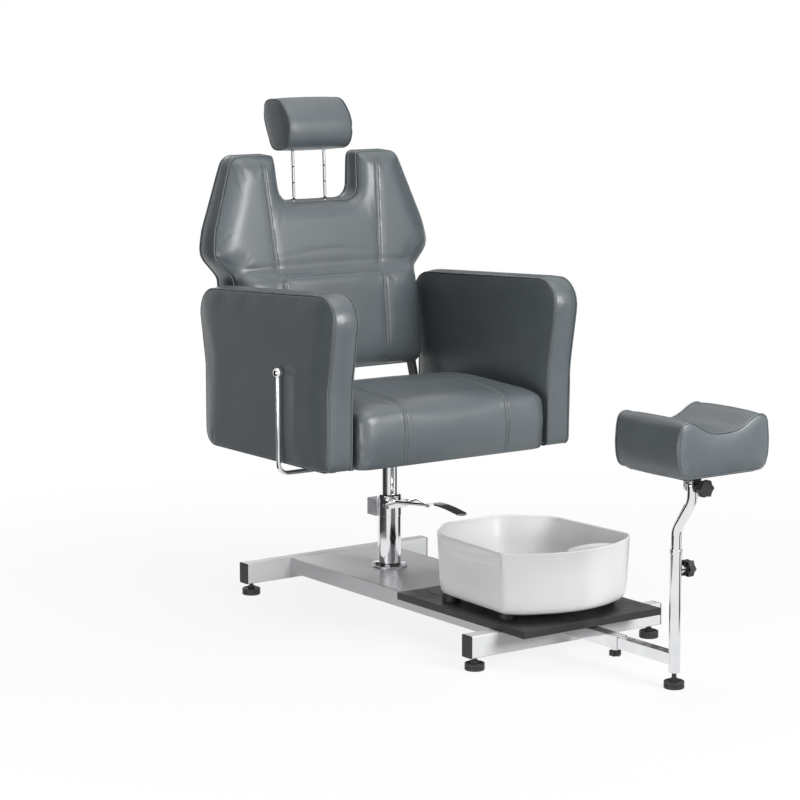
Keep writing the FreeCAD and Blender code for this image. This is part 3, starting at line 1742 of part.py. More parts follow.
def cross_bar():
    """The flat bar across the tops of the two legs."""
    top_z = leg_top_z - leg_thickness * 2
    low_z = top_z - leg_width
    y = back_board_y(low_z) - leg_thickness
    return box(-leg_inner_x, leg_inner_x, y - leg_thickness, y, low_z, top_z)


# Recline mechanism


def torque_tube():
    """The tube between the legs, on the hinge's axis, with the crank plates that the gas spring pushes."""
    tube = along_x(-leg_inner_x, leg_inner_x, hinge_y, hinge_z, torque_tube_radius)
    pieces = [tube]
    for side in (-1, 1):
        near = spring_x + side * crank_plate_out
        far = near + side * crank_plate
        x0, x1 = sorted((near, far))
        pieces.append(crank_web(x0, x1))
    whole = join(pieces)
    end_x = leg_inner_x + overrun
    bore = along_x(-end_x, end_x, hinge_y, hinge_z, torque_tube_radius - torque_tube_wall)
    reach = crank_plate_out + crank_plate + overrun
    pin = along_x(spring_x - reach, spring_x + reach, crank_pin_y, crank_pin_z, crank_pin_radius)
    return whole.cut(bore).cut(pin)


def crank_web(x0, x1):
    eye = along_x(x0, x1, crank_pin_y, crank_pin_z, crank_eye_radius)
    root = along_x(x0, x1, hinge_y, hinge_z, torque_tube_radius)
    front, rear = hinge_y - crank_eye_radius, hinge_y + crank_eye_radius
    bar = box(x0, x1, front, rear, hinge_z - crank_length, hinge_z)
    bar = turned(bar, V(1, 0, 0), recline_range_degrees / 2, V(0, hinge_y, hinge_z))
    return join([root, bar, eye])


def crank_pin():
    reach = crank_plate_out + crank_plate + crank_plate / 2
    return along_x(spring_x - reach, spring_x + reach, crank_pin_y, crank_pin_z, crank_pin_radius)


def hinge_bracket_blank(side):
    """A plate on the seat frame's side rail that reaches back to the hinge."""
    front = frame_rear_y - hinge_plate_lap
    rear = hinge_y + hinge_plate_reach
    low = hinge_z - hinge_plate_height / 2
    high = hinge_z + hinge_plate_height / 2
    corners = [
        (front, low, 0),
        (rear, low, hinge_plate_reach / 2),
        (rear, high, hinge_plate_reach / 2),
        (front, high, 0),
    ]
    return prism(corners, flat_yz(side * hinge_plate_x), flat_yz(side * (hinge_plate_x + hinge_plate)))


def hinge_bracket(side):
    middle = side * hinge_plate_x
    reach = hinge_plate * 2
    hole = along_x(middle - reach, middle + reach, hinge_y, hinge_z, hinge_pin_radius + pin_fit)
    return hinge_bracket_blank(side).cut(hole)


def hinge_pin(side):
    """The pin through a bracket and a leg's eye, with a head outside."""
    inner = side * (leg_inner_x - leg_thickness)
    outer = side * (hinge_plate_x + hinge_plate + body_gap / 2)
    x0, x1 = sorted((inner, outer))
    pin = along_x(x0, x1, hinge_y, hinge_z, hinge_pin_radius)
    x0, x1 = sorted((outer, outer + side * hinge_plate / 2))
    return join([pin, along_x(x0, x1, hinge_y, hinge_z, hinge_pin_radius * pin_head_share)])


def gas_spring_cylinder():
    """The lockable gas spring's body, with the boss for its release pin at the front."""
    body = along_y(spring_front_y, spring_rear_y, spring_x, spring_z, spring_radius)
    bore_front = spring_front_y + spring_holder * 2
    bore_radius = spring_radius - spring_wall
    rod_radius = spring_rod_radius + slide_fit
    pin_radius = release_pin_radius + slide_fit
    bore = along_y(bore_front, spring_rear_y - spring_holder, spring_x, spring_z, bore_radius)
    rod_room = along_y(bore_front, spring_rear_y + overrun, spring_x, spring_z, rod_radius)
    pin_room = along_y(spring_front_y - overrun, bore_front, spring_x, spring_z, pin_radius)
    return body.cut(bore).cut(rod_room).cut(pin_room)


def gas_spring_holder():
    """The saddle under the seat's panel that clamps the spring's front end."""
    start = spring_front_y + spring_holder
    end = start + spring_holder * 2
    half = slot_half_width + spring_holder_lap
    low_z = spring_z - spring_radius - spring_wall
    block = box(spring_x - half, spring_x + half, start, end, low_z, seat_base_z)
    return block.cut(along_y(start - overrun, end + overrun, spring_x, spring_z, spring_radius))


def gas_spring_rod():
    """The rod, with a slotted eye that lets the crank's pin rise and fall on its arc."""
    inside = spring_rear_y - spring_rod_engaged
    shaft = along_y(inside, crank_pin_y, spring_x, spring_z, spring_rod_radius)
    play = (crank_pin_z - crank_low_z) / 2 + pin_fit
    half = crank_eye_radius
    round_off = crank_eye_radius * spring_eye_round_share
    turns = ((-half, -half), (half, -half), (half, half), (-half, half))
    corners = [(crank_pin_y + y, spring_z + z, round_off) for y, z in turns]
    eye = prism(corners, flat_yz(spring_x - spring_eye_half), flat_yz(spring_x + spring_eye_half))
    radius = crank_pin_radius + body_gap / 2
    reach = spring_eye_half + overrun
    slot = join(
        [
            along_x(spring_x - reach, spring_x + reach, crank_pin_y, spring_z - play, radius),
            along_x(spring_x - reach, spring_x + reach, crank_pin_y, spring_z + play, radius),
            box(
                spring_x - reach,
                spring_x + reach,
                crank_pin_y - radius,
                crank_pin_y + radius,
                spring_z - play,
                spring_z + play,
            ),
        ]
    )
    return join([shaft, eye]).cut(slot)


def release_pin():
    """The spring's release pin, which the lever's cam presses in."""
    tip = spring_front_y - release_pin_reach
    pin = along_y(tip, spring_front_y + spring_holder, spring_x, spring_z, release_pin_radius)
    head = along_y(tip, tip + release_pin_flange / 2, spring_x, spring_z, release_pin_flange)
    return join([pin, head])


# Recline lever


def recline_lever():
    """A bent bar: the upright handle outside the armrest and the shaft under the seat."""
    places = [(lever_x, lever_top_z), (lever_x, lever_z), (lever_inner_x, lever_z)]
    points = [V(x, lever_y, z) for x, z in places]
    return join([bent_rod(points, [lever_bend], lever_radius), lever_cam()])


def lever_ball():
    ball = Part.makeSphere(ball_radius, V(lever_x, lever_y, ball_z))
    return ball.cut(upright(lever_x, lever_y, ball_z - ball_radius - overrun, lever_top_z, lever_radius))


def lever_cam():
    """The welded ring and finger that reach up from the lever's shaft to the release pin."""
    x0 = spring_x - cam_thickness / 2
    x1 = spring_x + cam_thickness / 2
    ring = along_x(x0, x1, lever_y, lever_z, cam_width)
    face = spring_front_y - release_pin_reach - body_gap
    finger = box(x0, x1, lever_y, face, spring_z - release_pin_flange, spring_z + release_pin_flange / 5)
    return join([ring, finger]).cut(along_x(x0 - overrun, x1 + overrun, lever_y, lever_z, lever_radius))


def lever_bearing(x):
    half = bearing_width / 2
    block = box(
        x - half,
        x + half,
        lever_y - bearing_depth / 2,
        lever_y + bearing_depth / 2,
        lever_z - bearing_depth / 2,
        seat_base_z,
    )
    reach = half + overrun
    return block.cut(along_x(x - reach, x + reach, lever_y, lever_z, lever_radius + slide_fit))


# Headrest


def rest_y(z):
    """How far back a headrest post stands at one height."""
    return rear_y(notch_floor_z) - rest_post_inset + rest_post_lean_share * (z - notch_floor_z)


def rest_point(side, z):
    return V(side * rest_post_x, rest_y(z), z)


def headrest_post(side):
    """A plated bar with a ring of notches that the guide's spring catches."""
    bar = rod(rest_point(side, rest_post_base_z), rest_point(side, rest_post_top_z), rest_post_radius)
    count = int((pillow_low_z - rest_post_base_z) / rest_notch_step)
    for i in range(1, count):
        z = pillow_low_z - rest_notch_step * i
        start = rest_point(side, z - rest_notch_length / 2)
        end = rest_point(side, z + rest_notch_length / 2)
        ring = rod(start, end, rest_post_radius + overrun)
        bar = bar.cut(ring.cut(rod(start, end, rest_post_radius - rest_notch_depth)))
    return bar


def headrest_posts():
    return join([headrest_post(-1), headrest_post(1), headrest_bar()])


def headrest_bar():
    z = rest_post_top_z - rest_bar_radius * rest_bar_drop_share
    return along_x(-rest_post_x, rest_post_x, rest_y(z), z, rest_bar_radius)


def guide_hole(side):
    low = rest_point(side, guide_base_z)
    high = rest_point(side, notch_floor_z + overrun)
    return rod(low, high, guide_radius)


def post_guide(side):
    """The plastic sleeve in the backrest, with its flange on the floor of the notch."""
    low = rest_point(side, guide_base_z)
    over = rest_point(side, notch_floor_z + guide_flange)
    sleeve = rod(low, over, guide_radius)
    flange = rod(rest_point(side, notch_floor_z - guide_flange), over, guide_flange_radius)
    flange = flange.common(
        box(
            side * rest_post_x - guide_flange_radius * 2,
            side * rest_post_x + guide_flange_radius * 2,
            rest_y(notch_floor_z) - guide_flange_radius * 2,
            rest_y(notch_floor_z) + guide_flange_radius * 2,
            notch_floor_z,
            notch_floor_z + guide_flange * 2,
        )
    )
    bore = rod(
        rest_point(side, guide_base_z - overrun),
        rest_point(side, notch_floor_z + guide_flange + overrun * 2),
        rest_post_radius + slide_fit,
    )
    trimmed = sleeve.common(
        box(
            side * rest_post_x - guide_flange_radius * 2,
            side * rest_post_x + guide_flange_radius * 2,
            rest_y(notch_floor_z) - guide_flange_radius * 4,
            rest_y(notch_floor_z) + guide_flange_radius * 4,
            guide_base_z - overrun,
            notch_floor_z,
        )
    )
    return join([trimmed, flange]).cut(bore)


def pillow_corners():
    front = rest_y(pillow_low_z) - pillow_before_posts
    return [
        (front + pillow_depth * along, pillow_low_z + pillow_height * up, pillow_height * turn)
        for along, up, turn in pillow_outline_shares
    ]


def headrest_pillow():
    corners = pillow_corners()
    wires = []
    for across, draw in pillow_station_shares:
        moved = drawn_in(corners, pillow_end_draw * draw, [1] * len(corners)) if draw else corners
        wires.append(outline(moved, flat_yz(pillow_half_length * across)))
    pillow = loft(wires)
    pillow = pillow.cut(headrest_bar())
    for side in (-1, 1):
        low = rest_point(side, pillow_low_z - pillow_end_round)
        pillow = pillow.cut(rod(low, rest_point(side, rest_post_top_z), rest_post_radius))
    return pillow


# Build and save

save("rear_cross_tube", cross_tube(rear_tube_y))
save("front_cross_tube", cross_tube(front_tube_y))
save("tube_end_caps", group([end_cap(y, side) for y in (rear_tube_y, front_tube_y) for side in (-1, 1)]))
save("spine_plate", spine_plate())
stud_top_z = tube_lift + tube_wall + foot_nut_height + overrun
foot_names = ["rear_foot_right", "rear_foot_left", "front_foot_right", "front_foot_left"]
for name, (x, y) in zip(foot_names, foot_places()):
    save(name, levelling_foot(x, y, stud_top_z))
save("post_foot", levelling_foot(0, post_y, post_base_z + post_insert_height / 2))
save("tray_board", tray_board())
save("tray_screws", group([board_screw(x, y) for x, y in board_screw_places()]))
save("basin", basin())
save("basin_feet", group([basin_foot(x, y) for x, y in basin_foot_places()]))

save("arm_sleeve", arm_sleeve())
save("reach_set_bolt", set_bolt())
save("leg_rest_arm", leg_rest_arm())
save("leg_rest_post", leg_rest_post())
save("stem_bush", stem_bush())
save("leg_rest_stem", leg_rest_stem())
knob, stem = post_knob()
save("post_knob", knob)
save("post_knob_stem", stem)
save("pad_bracket", pad_bracket())
save("tilt_bolt", tilt_bolt())
save("pad_knob", pad_knob())
save("leg_rest_pad", leg_rest_pad())
save("leg_rest_board", leg_rest_board())
save("pad_screws", group([pad_screw(x, y) for x, y in pad_screw_places()]))

save("pump_flange", pump_flange())
save("flange_bolts", group([flange_bolt(x, y) for x, y in flange_bolt_places()]))
save("pump_collar", pump_collar())
save("pump_cylinder", pump_cylinder())
save("pump_head", pump_head())
save("valve_block", valve_block())
save("valve_screw", valve_screw())
save("pedal_pivot_pin", pedal_pin())
save("pump_pedal", pump_pedal())
save("piston", piston())

both = (-1, 1)
plate_bolts = [seat_plate_bolt(x, y) for x, y in seat_plate_bolt_places()]
save("seat_plate", seat_plate())
save("seat_bolts", group(plate_bolts + [arm_bolt(side, y) for side in both for y in spacer_places()]))
save("seat_frame", seat_frame())
save("seat_cushion", seat_cushion())
save("armrest_right", armrest(-1))
save("armrest_left", armrest(1))
save("armrest_cores", group([arm_core(-1), arm_core(1)]))
save("arm_spacers", group([arm_spacer(side, y) for side in both for y in spacer_places()]))

save("backrest_cushion", backrest_cushion())
save("back_board", back_board())
save("back_frame", group([back_leg(-1), back_leg(1), cross_bar()]))
save("torque_tube", torque_tube())
save("recline_pins", group([hinge_pin(-1), hinge_pin(1), crank_pin()]))
save("recline_brackets", group([hinge_bracket(-1), hinge_bracket(1), gas_spring_holder()]))
save("gas_spring_cylinder", gas_spring_cylinder())
save("gas_spring_rod", gas_spring_rod())
save("release_pin", release_pin())
save("recline_lever", recline_lever())
save("lever_ball", lever_ball())
save("lever_bearings", group([lever_bearing(bearing_outer_x), lever_bearing(bearing_inner_x)]))

save("headrest_posts", headrest_posts())
save("post_guides", group([post_guide(-1), post_guide(1)]))
save("headrest_pillow", headrest_pillow())
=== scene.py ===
# %% [markdown]
# A pedicure bench is a hydraulic chair that shares one steel floor frame with a foot basin and a
# leg rest. The steel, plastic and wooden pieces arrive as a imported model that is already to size.
# This lesson gives each of them its finish, sews the upholstery (the seat, two armrests, the
# backrest, the headrest and the leg rest pad) and moulds the foot basin. Everything is in metres
# and +Z is up.

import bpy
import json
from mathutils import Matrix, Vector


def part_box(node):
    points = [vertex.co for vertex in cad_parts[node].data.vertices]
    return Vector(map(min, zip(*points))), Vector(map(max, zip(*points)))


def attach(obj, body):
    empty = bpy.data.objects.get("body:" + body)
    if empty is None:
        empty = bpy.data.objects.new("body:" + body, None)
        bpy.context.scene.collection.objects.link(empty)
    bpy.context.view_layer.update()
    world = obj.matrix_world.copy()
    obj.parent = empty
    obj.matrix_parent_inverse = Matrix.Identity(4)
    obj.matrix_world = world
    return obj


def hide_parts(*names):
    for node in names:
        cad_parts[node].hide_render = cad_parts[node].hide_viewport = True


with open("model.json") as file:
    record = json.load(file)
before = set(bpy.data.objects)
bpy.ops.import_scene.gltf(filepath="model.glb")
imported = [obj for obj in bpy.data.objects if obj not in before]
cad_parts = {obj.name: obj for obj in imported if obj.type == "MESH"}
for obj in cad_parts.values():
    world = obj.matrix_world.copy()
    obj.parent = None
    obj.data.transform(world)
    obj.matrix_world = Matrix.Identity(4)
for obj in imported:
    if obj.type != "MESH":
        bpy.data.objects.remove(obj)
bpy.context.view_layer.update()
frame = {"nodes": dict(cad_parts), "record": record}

# %% Modules for meshes and numbers
import json
import math

import bmesh
import bpy
import numpy as np
from mathutils import Vector
from mathutils.bvhtree import BVHTree
from mathutils.kdtree import KDTree


def mm(*values):
    """Millimetres as metres: one value alone, or several as a tuple."""
    scaled = tuple(value / 1000 for value in values)
    return scaled[0] if len(scaled) == 1 else scaled


def placed(name, data):
    """A new object in the scene, which shows a mesh, a light or a camera."""
    piece = bpy.data.objects.new(name, data)
    bpy.context.scene.collection.objects.link(piece)
    return piece


def aim(piece, place, target):
    """Moves a piece and turns it so that it looks at the target."""
    piece.location = place
    piece.rotation_mode = "QUATERNION"
    piece.rotation_quaternion = (Vector(target) - Vector(place)).to_track_quat("-Z", "Y")


# %% [markdown]
# The camera comes first, because every later choice is judged through it. The photograph was
# taken with a long lens from the front left of the chair, a little above the seat, so that the
# tubes of the frame stay almost parallel. A camera that looks along a line from its own place to
# a target needs no angles typed by hand.

# %% Camera at the photograph's place
camera_place = (-3.6758, -4.1081, 1.4715)
camera_target = (-0.1488, 0.7820, 0.52935)
lens = bpy.data.cameras.new("studio_camera")
lens.lens = 120.31
lens.sensor_width = 36.0
camera = placed("studio_camera", lens)
aim(camera, camera_place, camera_target)
bpy.context.scene.camera = camera
print("camera distance", round(math.dist(camera_place, camera_target), 3))

# %% [markdown]
# A material in Blender is a small net of nodes. Colours are easiest to judge as the hex values
# that a screen shows, but the shader wants linear light, so one function turns the first into the
# second. One other function adds a node, sets it and wires it up, whatever its kind is.

# %% Colour and node helpers


def linear(hex_colour):
    """An sRGB hex colour as the linear RGBA that a shader reads."""
    parts = [int(hex_colour[i : i + 2], 16) / 255 for i in (1, 3, 5)]
    light = [p / 12.92 if p <= 0.04045 else ((p + 0.055) / 1.055) ** 2.4 for p in parts]
    return (*light, 1.0)


def add(tree, kind, inputs=None, **settings):
    """A new node: its own settings by name, and its inputs as values or as other nodes' outputs."""
    node = tree.nodes.new("ShaderNode" + kind)
    for name, value in settings.items():
        setattr(node, name, value)
    for name, value in (inputs or {}).items():
        if isinstance(value, bpy.types.NodeSocket):
            tree.links.new(value, node.inputs[name])
        else:
            node.inputs[name].default_value = value
    return node


def computed(tree, operation, first, second=0.0):
    """One sum over two values, each a number or another node's output."""
    return add(tree, "Math", {0: first, 1: second}, operation=operation).outputs[0]


def remapped(tree, value, low, high, new_low, new_high):
    """A value carried from one range to another, and clamped to it."""
    spread = {"From Min": low, "From Max": high, "To Min": new_low, "To Max": new_high}
    return add(tree, "MapRange", {"Value": value, **spread}).outputs["Result"]


print("mid grey in linear light", [round(v, 3) for v in linear("#808080")])

# %% [markdown]
# Nearly every finish here is one surface shader with three things laid over it: a colour that
# wanders a little, a roughness that wanders with it, and a fine relief. Real coatings are never
# even, and the eye reads a perfectly even one as a computer model. The pattern is placed by the
# object's own coordinates, in metres, so that it moves with the piece.

# %% Base for a finish


def new_finish(name, **shader):
    """A material with its shader's constant sockets set; returns (material, tree, shader, place)."""
    material = bpy.data.materials.new(name)
    material.use_nodes = True
    tree = material.node_tree
    surface = tree.nodes["Principled BSDF"]
    for socket, value in shader.items():
        surface.inputs[socket.replace("_", " ")].default_value = value
    place = add(tree, "TexCoord").outputs["Object"]
    return material, tree, surface, place


def noise(tree, place, spacing, detail):
    """Noise whose bumps lie that far apart, in metres."""
    return add(tree, "TexNoise", {"Vector": place, "Scale": 1 / spacing, "Detail": detail}).outputs["Fac"]


def long_noise(tree, place, lengths, detail, distortion=0.0):
    """Noise whose bumps have their own length along each axis, in metres."""
    along = add(tree, "Mapping", {"Vector": place, "Scale": tuple(1 / length for length in lengths)})
    inputs = {"Vector": along.outputs["Vector"], "Scale": 1.0, "Detail": detail, "Distortion": distortion}
    return add(tree, "TexNoise", inputs).outputs["Fac"]


def wander(tree, place, patch, low, high):
    """A value that drifts between low and high over patches of that size in metres."""
    return remapped(tree, noise(tree, place, patch, 3.0), 0.3, 0.7, low, high)


def two_tone(tree, share, first, second):
    """A colour between two others, by a share; each is a hex colour or another node's output."""
    ends = [linear(end) if isinstance(end, str) else end for end in (first, second)]
    return add(tree, "Mix", {"Factor": share, 6: ends[0], 7: ends[1]}, data_type="RGBA").outputs[2]


def paint(tree, surface, share, first, second):
    """Gives the surface a colour between two others."""
    tree.links.new(two_tone(tree, share, first, second), surface.inputs["Base Color"])


def gloss(tree, surface, place, patch, low, high):
    """Gives the surface a roughness that drifts between low and high."""
    tree.links.new(wander(tree, place, patch, low, high), surface.inputs["Roughness"])


def relief(tree, surface, height, depth, strength=1.0, under=None):
    """Bump of a depth in metres, laid over another bump if there is one under it."""
    bump = add(tree, "Bump", {"Height": height, "Distance": depth, "Strength": strength})
    if under is not None:
        tree.links.new(under, bump.inputs["Normal"])
    tree.links.new(bump.outputs["Normal"], surface.inputs["Normal"])
    return bump.outputs["Normal"]


def coat(name, tones, tone_patch, roughness, rough_patch, grain, depth, detail=1.0, **shader):
    """A plain coat: two tones and a roughness that wander, over a relief of fine grain."""
    material, tree, surface, place = new_finish(name, **shader)
    paint(tree, surface, wander(tree, place, tone_patch, 0.0, 1.0), *tones)
    gloss(tree, surface, place, rough_patch, *roughness)
    relief(tree, surface, noise(tree, place, grain, detail), depth)
    print(name)
    return material


print("helpers ready")

# %% [markdown]
# Powder coat is a plastic dust that is baked onto steel. It flows into a thin skin with a faint
# orange peel, about two millimetres from bump to bump, and the silver grade holds flakes of
# aluminium, which give it a soft metallic sheen without a sharp reflection.

# %% Silver powder coat
silver_coat = coat(
    "silver_powder_coat",
    tones=("#dbdcdd", "#e1e2e3"),
    tone_patch=mm(160),
    roughness=(0.34, 0.40),
    rough_patch=mm(70),
    grain=mm(2.4),
    depth=mm(0.004),
    Metallic=0.1,
)

# %% [markdown]
# Bright chrome is a hard plated layer over polished nickel. It hides no reflection, so the colour
# that it shows is mostly the studio's. Fine polishing marks and a breath of dust keep the
# roughness from being perfectly even.

# %% Chrome plate
chrome = coat(
    "chrome_plate",
    tones=("#dddee0", "#e8e9ea"),
    tone_patch=mm(60),
    roughness=(0.05, 0.11),
    rough_patch=mm(25),
    grain=mm(0.9),
    depth=mm(0.004),
    detail=2.0,
    Metallic=1.0,
)

# %% [markdown]
# The headrest's posts have a ring turned into them every 39 mm, where a spring in the guide
# catches. Those rings are painted dark, as painted shade in the grooves.

# %% Chrome with painted shade in its rings
chrome_with_painted_ring_shade, tree, surface, place = new_finish("chrome_plate_with_painted_ring_shade", Metallic=1.0)
ring_step, ring_length = mm(39), mm(3)
ring_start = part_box("headrest_pillow")[0].z
height = add(tree, "SeparateXYZ", {"Vector": place}).outputs["Z"]
from_ring = computed(tree, "SUBTRACT", height, ring_start - ring_step / 2)
within = computed(tree, "FLOORED_MODULO", from_ring, ring_step)
off_middle = computed(tree, "ABSOLUTE", computed(tree, "SUBTRACT", within, ring_step / 2))
painted_ring_shade = computed(tree, "LESS_THAN", off_middle, ring_length / 2)
# Painted shade: the turned rings are painted dark.
paint(tree, surface, painted_ring_shade, "#e2e3e5", "#2e2f31")
gloss(tree, surface, place, mm(25), 0.06, 0.14)
print(chrome_with_painted_ring_shade.name)

# %% [markdown]
# The screws, the pins and the column's small fittings are zinc plated. Zinc is duller than chrome
# and has a cloudy, slightly blue cast with a fine brushed grain.

# %% Zinc plated steel
zinc_steel, tree, surface, place = new_finish("zinc_plated_steel", Metallic=1.0)
paint(tree, surface, wander(tree, place, mm(12), 0, 1), "#a9abaf", "#c2c3c6")
gloss(tree, surface, place, mm(9), 0.26, 0.42)
brushed = long_noise(tree, place, mm(6, 0.6, 0.6), detail=3.0)
relief(tree, surface, brushed, mm(0.02))
print(zinc_steel.name)

# %% [markdown]
# The deck under the column is a folded plate with a satin silver lacquer. It is rolled on in one
# thin coat, so it keeps a smooth metal sheen without the powder's orange peel.

# %% Satin silver lacquer
silver_lacquer = coat(
    "satin_silver_lacquer",
    tones=("#c3c4c6", "#cacbcd"),
    tone_patch=mm(320),
    roughness=(0.32, 0.38),
    rough_patch=mm(240),
    grain=mm(4),
    depth=mm(0.004),
    Metallic=0.3,
)

# %% [markdown]
# The levelling feet, the tube's end caps and the star knobs are moulded in black plastic. A mould
# that was spark eroded leaves a fine matte grain, under a millimetre across. It is drawn at one
# millimetre here, or the render would not show it.

# %% Black moulded plastic
black_plastic = coat(
    "black_moulded_plastic",
    tones=("#1c1c1e", "#272729"),
    tone_patch=mm(18),
    roughness=(0.42, 0.58),
    rough_patch=mm(8),
    grain=mm(1.0),
    depth=mm(0.06),
    detail=2.0,
)

# %% [markdown]
# The foot basin is injection moulded in white polypropylene. It comes out of a polished mould
# with a low, even gloss, and only a very fine orange peel keeps its highlights from being sharp.
# The plastic is a little milky: light sinks some millimetres into it, which softens its shadows.

# %% White basin plastic
white_plastic = coat(
    "white_polypropylene",
    tones=("#e4e4e4", "#e8e8e8"),
    tone_patch=mm(120),
    roughness=(0.30, 0.36),
    rough_patch=mm(60),
    grain=mm(1.6),
    depth=mm(0.008),
    IOR=1.49,
    Subsurface_Weight=0.3,
    Subsurface_Scale=mm(8),
    Subsurface_Radius=(1.0, 1.0, 1.0),
)

# %% [markdown]
# The tray under the basin is a board faced with black melamine. The facing is pressed with a
# shallow pattern of long pores that runs along the board.

# %% Black melamine board
black_board, tree, surface, place = new_finish("black_melamine_board")
pores = long_noise(tree, place, mm(3.0, 26, 3.0), detail=4.0)
paint(tree, surface, pores, "#151516", "#1f1f20")
gloss(tree, surface, place, mm(40), 0.36, 0.50)
relief(tree, surface, pores, mm(0.08))
print(black_board.name)

# %% [markdown]
# The carriers that stay out of sight are painted black: the seat plate, the recline brackets
# with their tube, and the backrest's frame. Wet paint on plain steel is thinner than powder, so it
# shows the mill's faint waves and has a satin gloss.

# %% Black satin paint
black_paint = coat(
    "black_satin_paint",
    tones=("#1d1e1f", "#2a2b2c"),
    tone_patch=mm(30),
    roughness=(0.34, 0.46),
    rough_patch=mm(20),
    grain=mm(5),
    depth=mm(0.05),
    detail=2.0,
)

# %% [markdown]
# The boards inside the upholstery are poplar plywood, stained black so that no pale wood shows
# from below. A veneer has long, uneven grain lines a few millimetres apart, and the stain sinks
# deeper along them.

# %% Stained plywood
plywood, tree, surface, place = new_finish("stained_poplar_plywood")
streaks = long_noise(tree, place, mm(5, 120, 5), detail=5.0, distortion=0.6)
paint(tree, surface, streaks, "#221f1d", "#3a3531")
gloss(tree, surface, place, mm(15), 0.58, 0.72)
relief(tree, surface, streaks, mm(0.15))
print(plywood.name)

# %% [markdown]
# Leatherette is a woven cloth coated with soft vinyl, embossed with a grain like calfskin. The
# real grain is about a millimetre across, and it is drawn at two so that a render shows it. Its
# sheen comes from a coat of lacquer: it is shiny enough to draw a soft highlight along each
# rounded edge. On top of that, a painted highlight makes the colour paler on the rounded edges,
# which Geometry's pointiness finds.

# %% Grey leatherette
leatherette, tree, surface, place = new_finish(
    "slate_leatherette", IOR=1.5, Coat_Weight=0.35, Coat_Roughness=0.27
)
grain_size, crease_size = mm(2.0, 30)
tone = two_tone(tree, wander(tree, place, mm(90), 0.0, 1.0), "#565d61", "#5b6266")
pointed = add(tree, "NewGeometry").outputs["Pointiness"]
# Painted highlight: the colour is painted paler where pointiness finds a rounded edge.
painted_edge_highlight = remapped(tree, pointed, 0.52, 0.62, 0.0, 0.35)
paint(tree, surface, painted_edge_highlight, tone, "#757c80")
gloss(tree, surface, place, mm(45), 0.40, 0.48)
cells = {"Vector": place, "Scale": 1 / grain_size, "Smoothness": 0.6}
pebbles = add(tree, "TexVoronoi", cells, feature="SMOOTH_F1").outputs["Distance"]
under = relief(tree, surface, noise(tree, place, crease_size, 3.0), mm(0.3), 0.4)
relief(tree, surface, pebbles, mm(0.06), 0.5, under)
print(leatherette.name)

# %% [markdown]
# The seams are sewn with bonded nylon in the cover's own grey. Each stitch is a short twisted
# length of thread, so the material only needs the twist, drawn as slanting ridges about a
# millimetre apart, and a duller surface than the vinyl beside it.

# %% Nylon thread
thread, tree, surface, place = new_finish("bonded_nylon_thread", Sheen_Weight=0.2)
ridges = {"Vector": place, "Scale": 1 / mm(3.0), "Distortion": 0.4}
twist = add(tree, "TexWave", ridges, bands_direction="DIAGONAL").outputs["Fac"]
paint(tree, surface, twist, "#4d5357", "#70777b")
gloss(tree, surface, place, mm(6), 0.55, 0.7)
relief(tree, surface, twist, mm(0.06))
print(thread.name)

# %% [markdown]
# Each carried piece now gets its finish. The record's material slots already say which is which,
# so one list goes from slot to finish, and no piece can be forgotten. Two pieces share a slot
# but not a finish with the rest, and a second list names them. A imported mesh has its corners
# split for flat shading, so a Weld modifier joins them. A small Bevel rounds the hard edges as a
# press brake or a mould would, and weighted normals keep the flats flat beside it. The meshes
# themselves keep their corners.

# %% Finishes and rounded edges for the carried pieces
finish_of_slot = {
    "silver_paint": silver_coat,
    "black_paint": black_paint,
    "satin_steel": zinc_steel,
    "chrome": chrome,
    "black_plastic": black_plastic,
    "white_plastic": white_plastic,
    "grey_leatherette": leatherette,
    "black_laminate": black_board,
    "plywood": plywood,
}
slot_of_node = {part["node"]: part["material_slot"] for part in frame["record"]["subparts"]}
finish_of_node = {"spine_plate": silver_lacquer, "headrest_posts": chrome_with_painted_ring_shade}
edge_radius = {
    "tray_board": mm(0.8),
    "spine_plate": mm(1.6),
    "leg_rest_arm": mm(1.5),
    "arm_sleeve": mm(1.2),
}
weld_reach = mm(0.002)
small_edge = mm(0.4)
corner_angle = math.radians(32)
for name, piece in frame["nodes"].items():
    piece.data.materials.clear()
    piece.data.materials.append(finish_of_node.get(name, finish_of_slot[slot_of_node[name]]))
    piece.data.attributes.remove(piece.data.attributes["custom_normal"])
    piece.data.shade_smooth()
    weld = piece.modifiers.new("weld", "WELD")
    weld.merge_threshold = weld_reach
    bevel = piece.modifiers.new("edge", "BEVEL")
    bevel.width = edge_radius.get(name, small_edge)
    bevel.segments = 2
    bevel.limit_method = "ANGLE"
    bevel.angle_limit = corner_angle
    bevel.use_clamp_overlap = True
    flats = piece.modifiers.new("flats", "WEIGHTED_NORMAL")
    flats.keep_sharp = False
print("finished", len(frame["nodes"]), "carried pieces")

# %% [markdown]
# The cushions start as outlines. A pattern cutter draws each panel as a few corners, and rounds
# each corner with an arc. The same is done here: an outline is a short list of corners, each with
# its own radius, and a second function draws the whole outline in by some millimetres, as a sewn
# edge is drawn in. Both keep the number of points, so two outlines can be joined into a skin.

# %% Rounded outlines


def unit(vector):
    return vector / np.linalg.norm(vector)


def units(rows):
    """Each row of numbers scaled to length one."""
    return rows / np.linalg.norm(rows, axis=1)[:, None]


def read_at(places, steps, rows):
    """The rows at other places along a line whose points lie at those steps."""
    return np.column_stack([np.interp(places, steps, rows[:, k]) for k in range(rows.shape[1])])


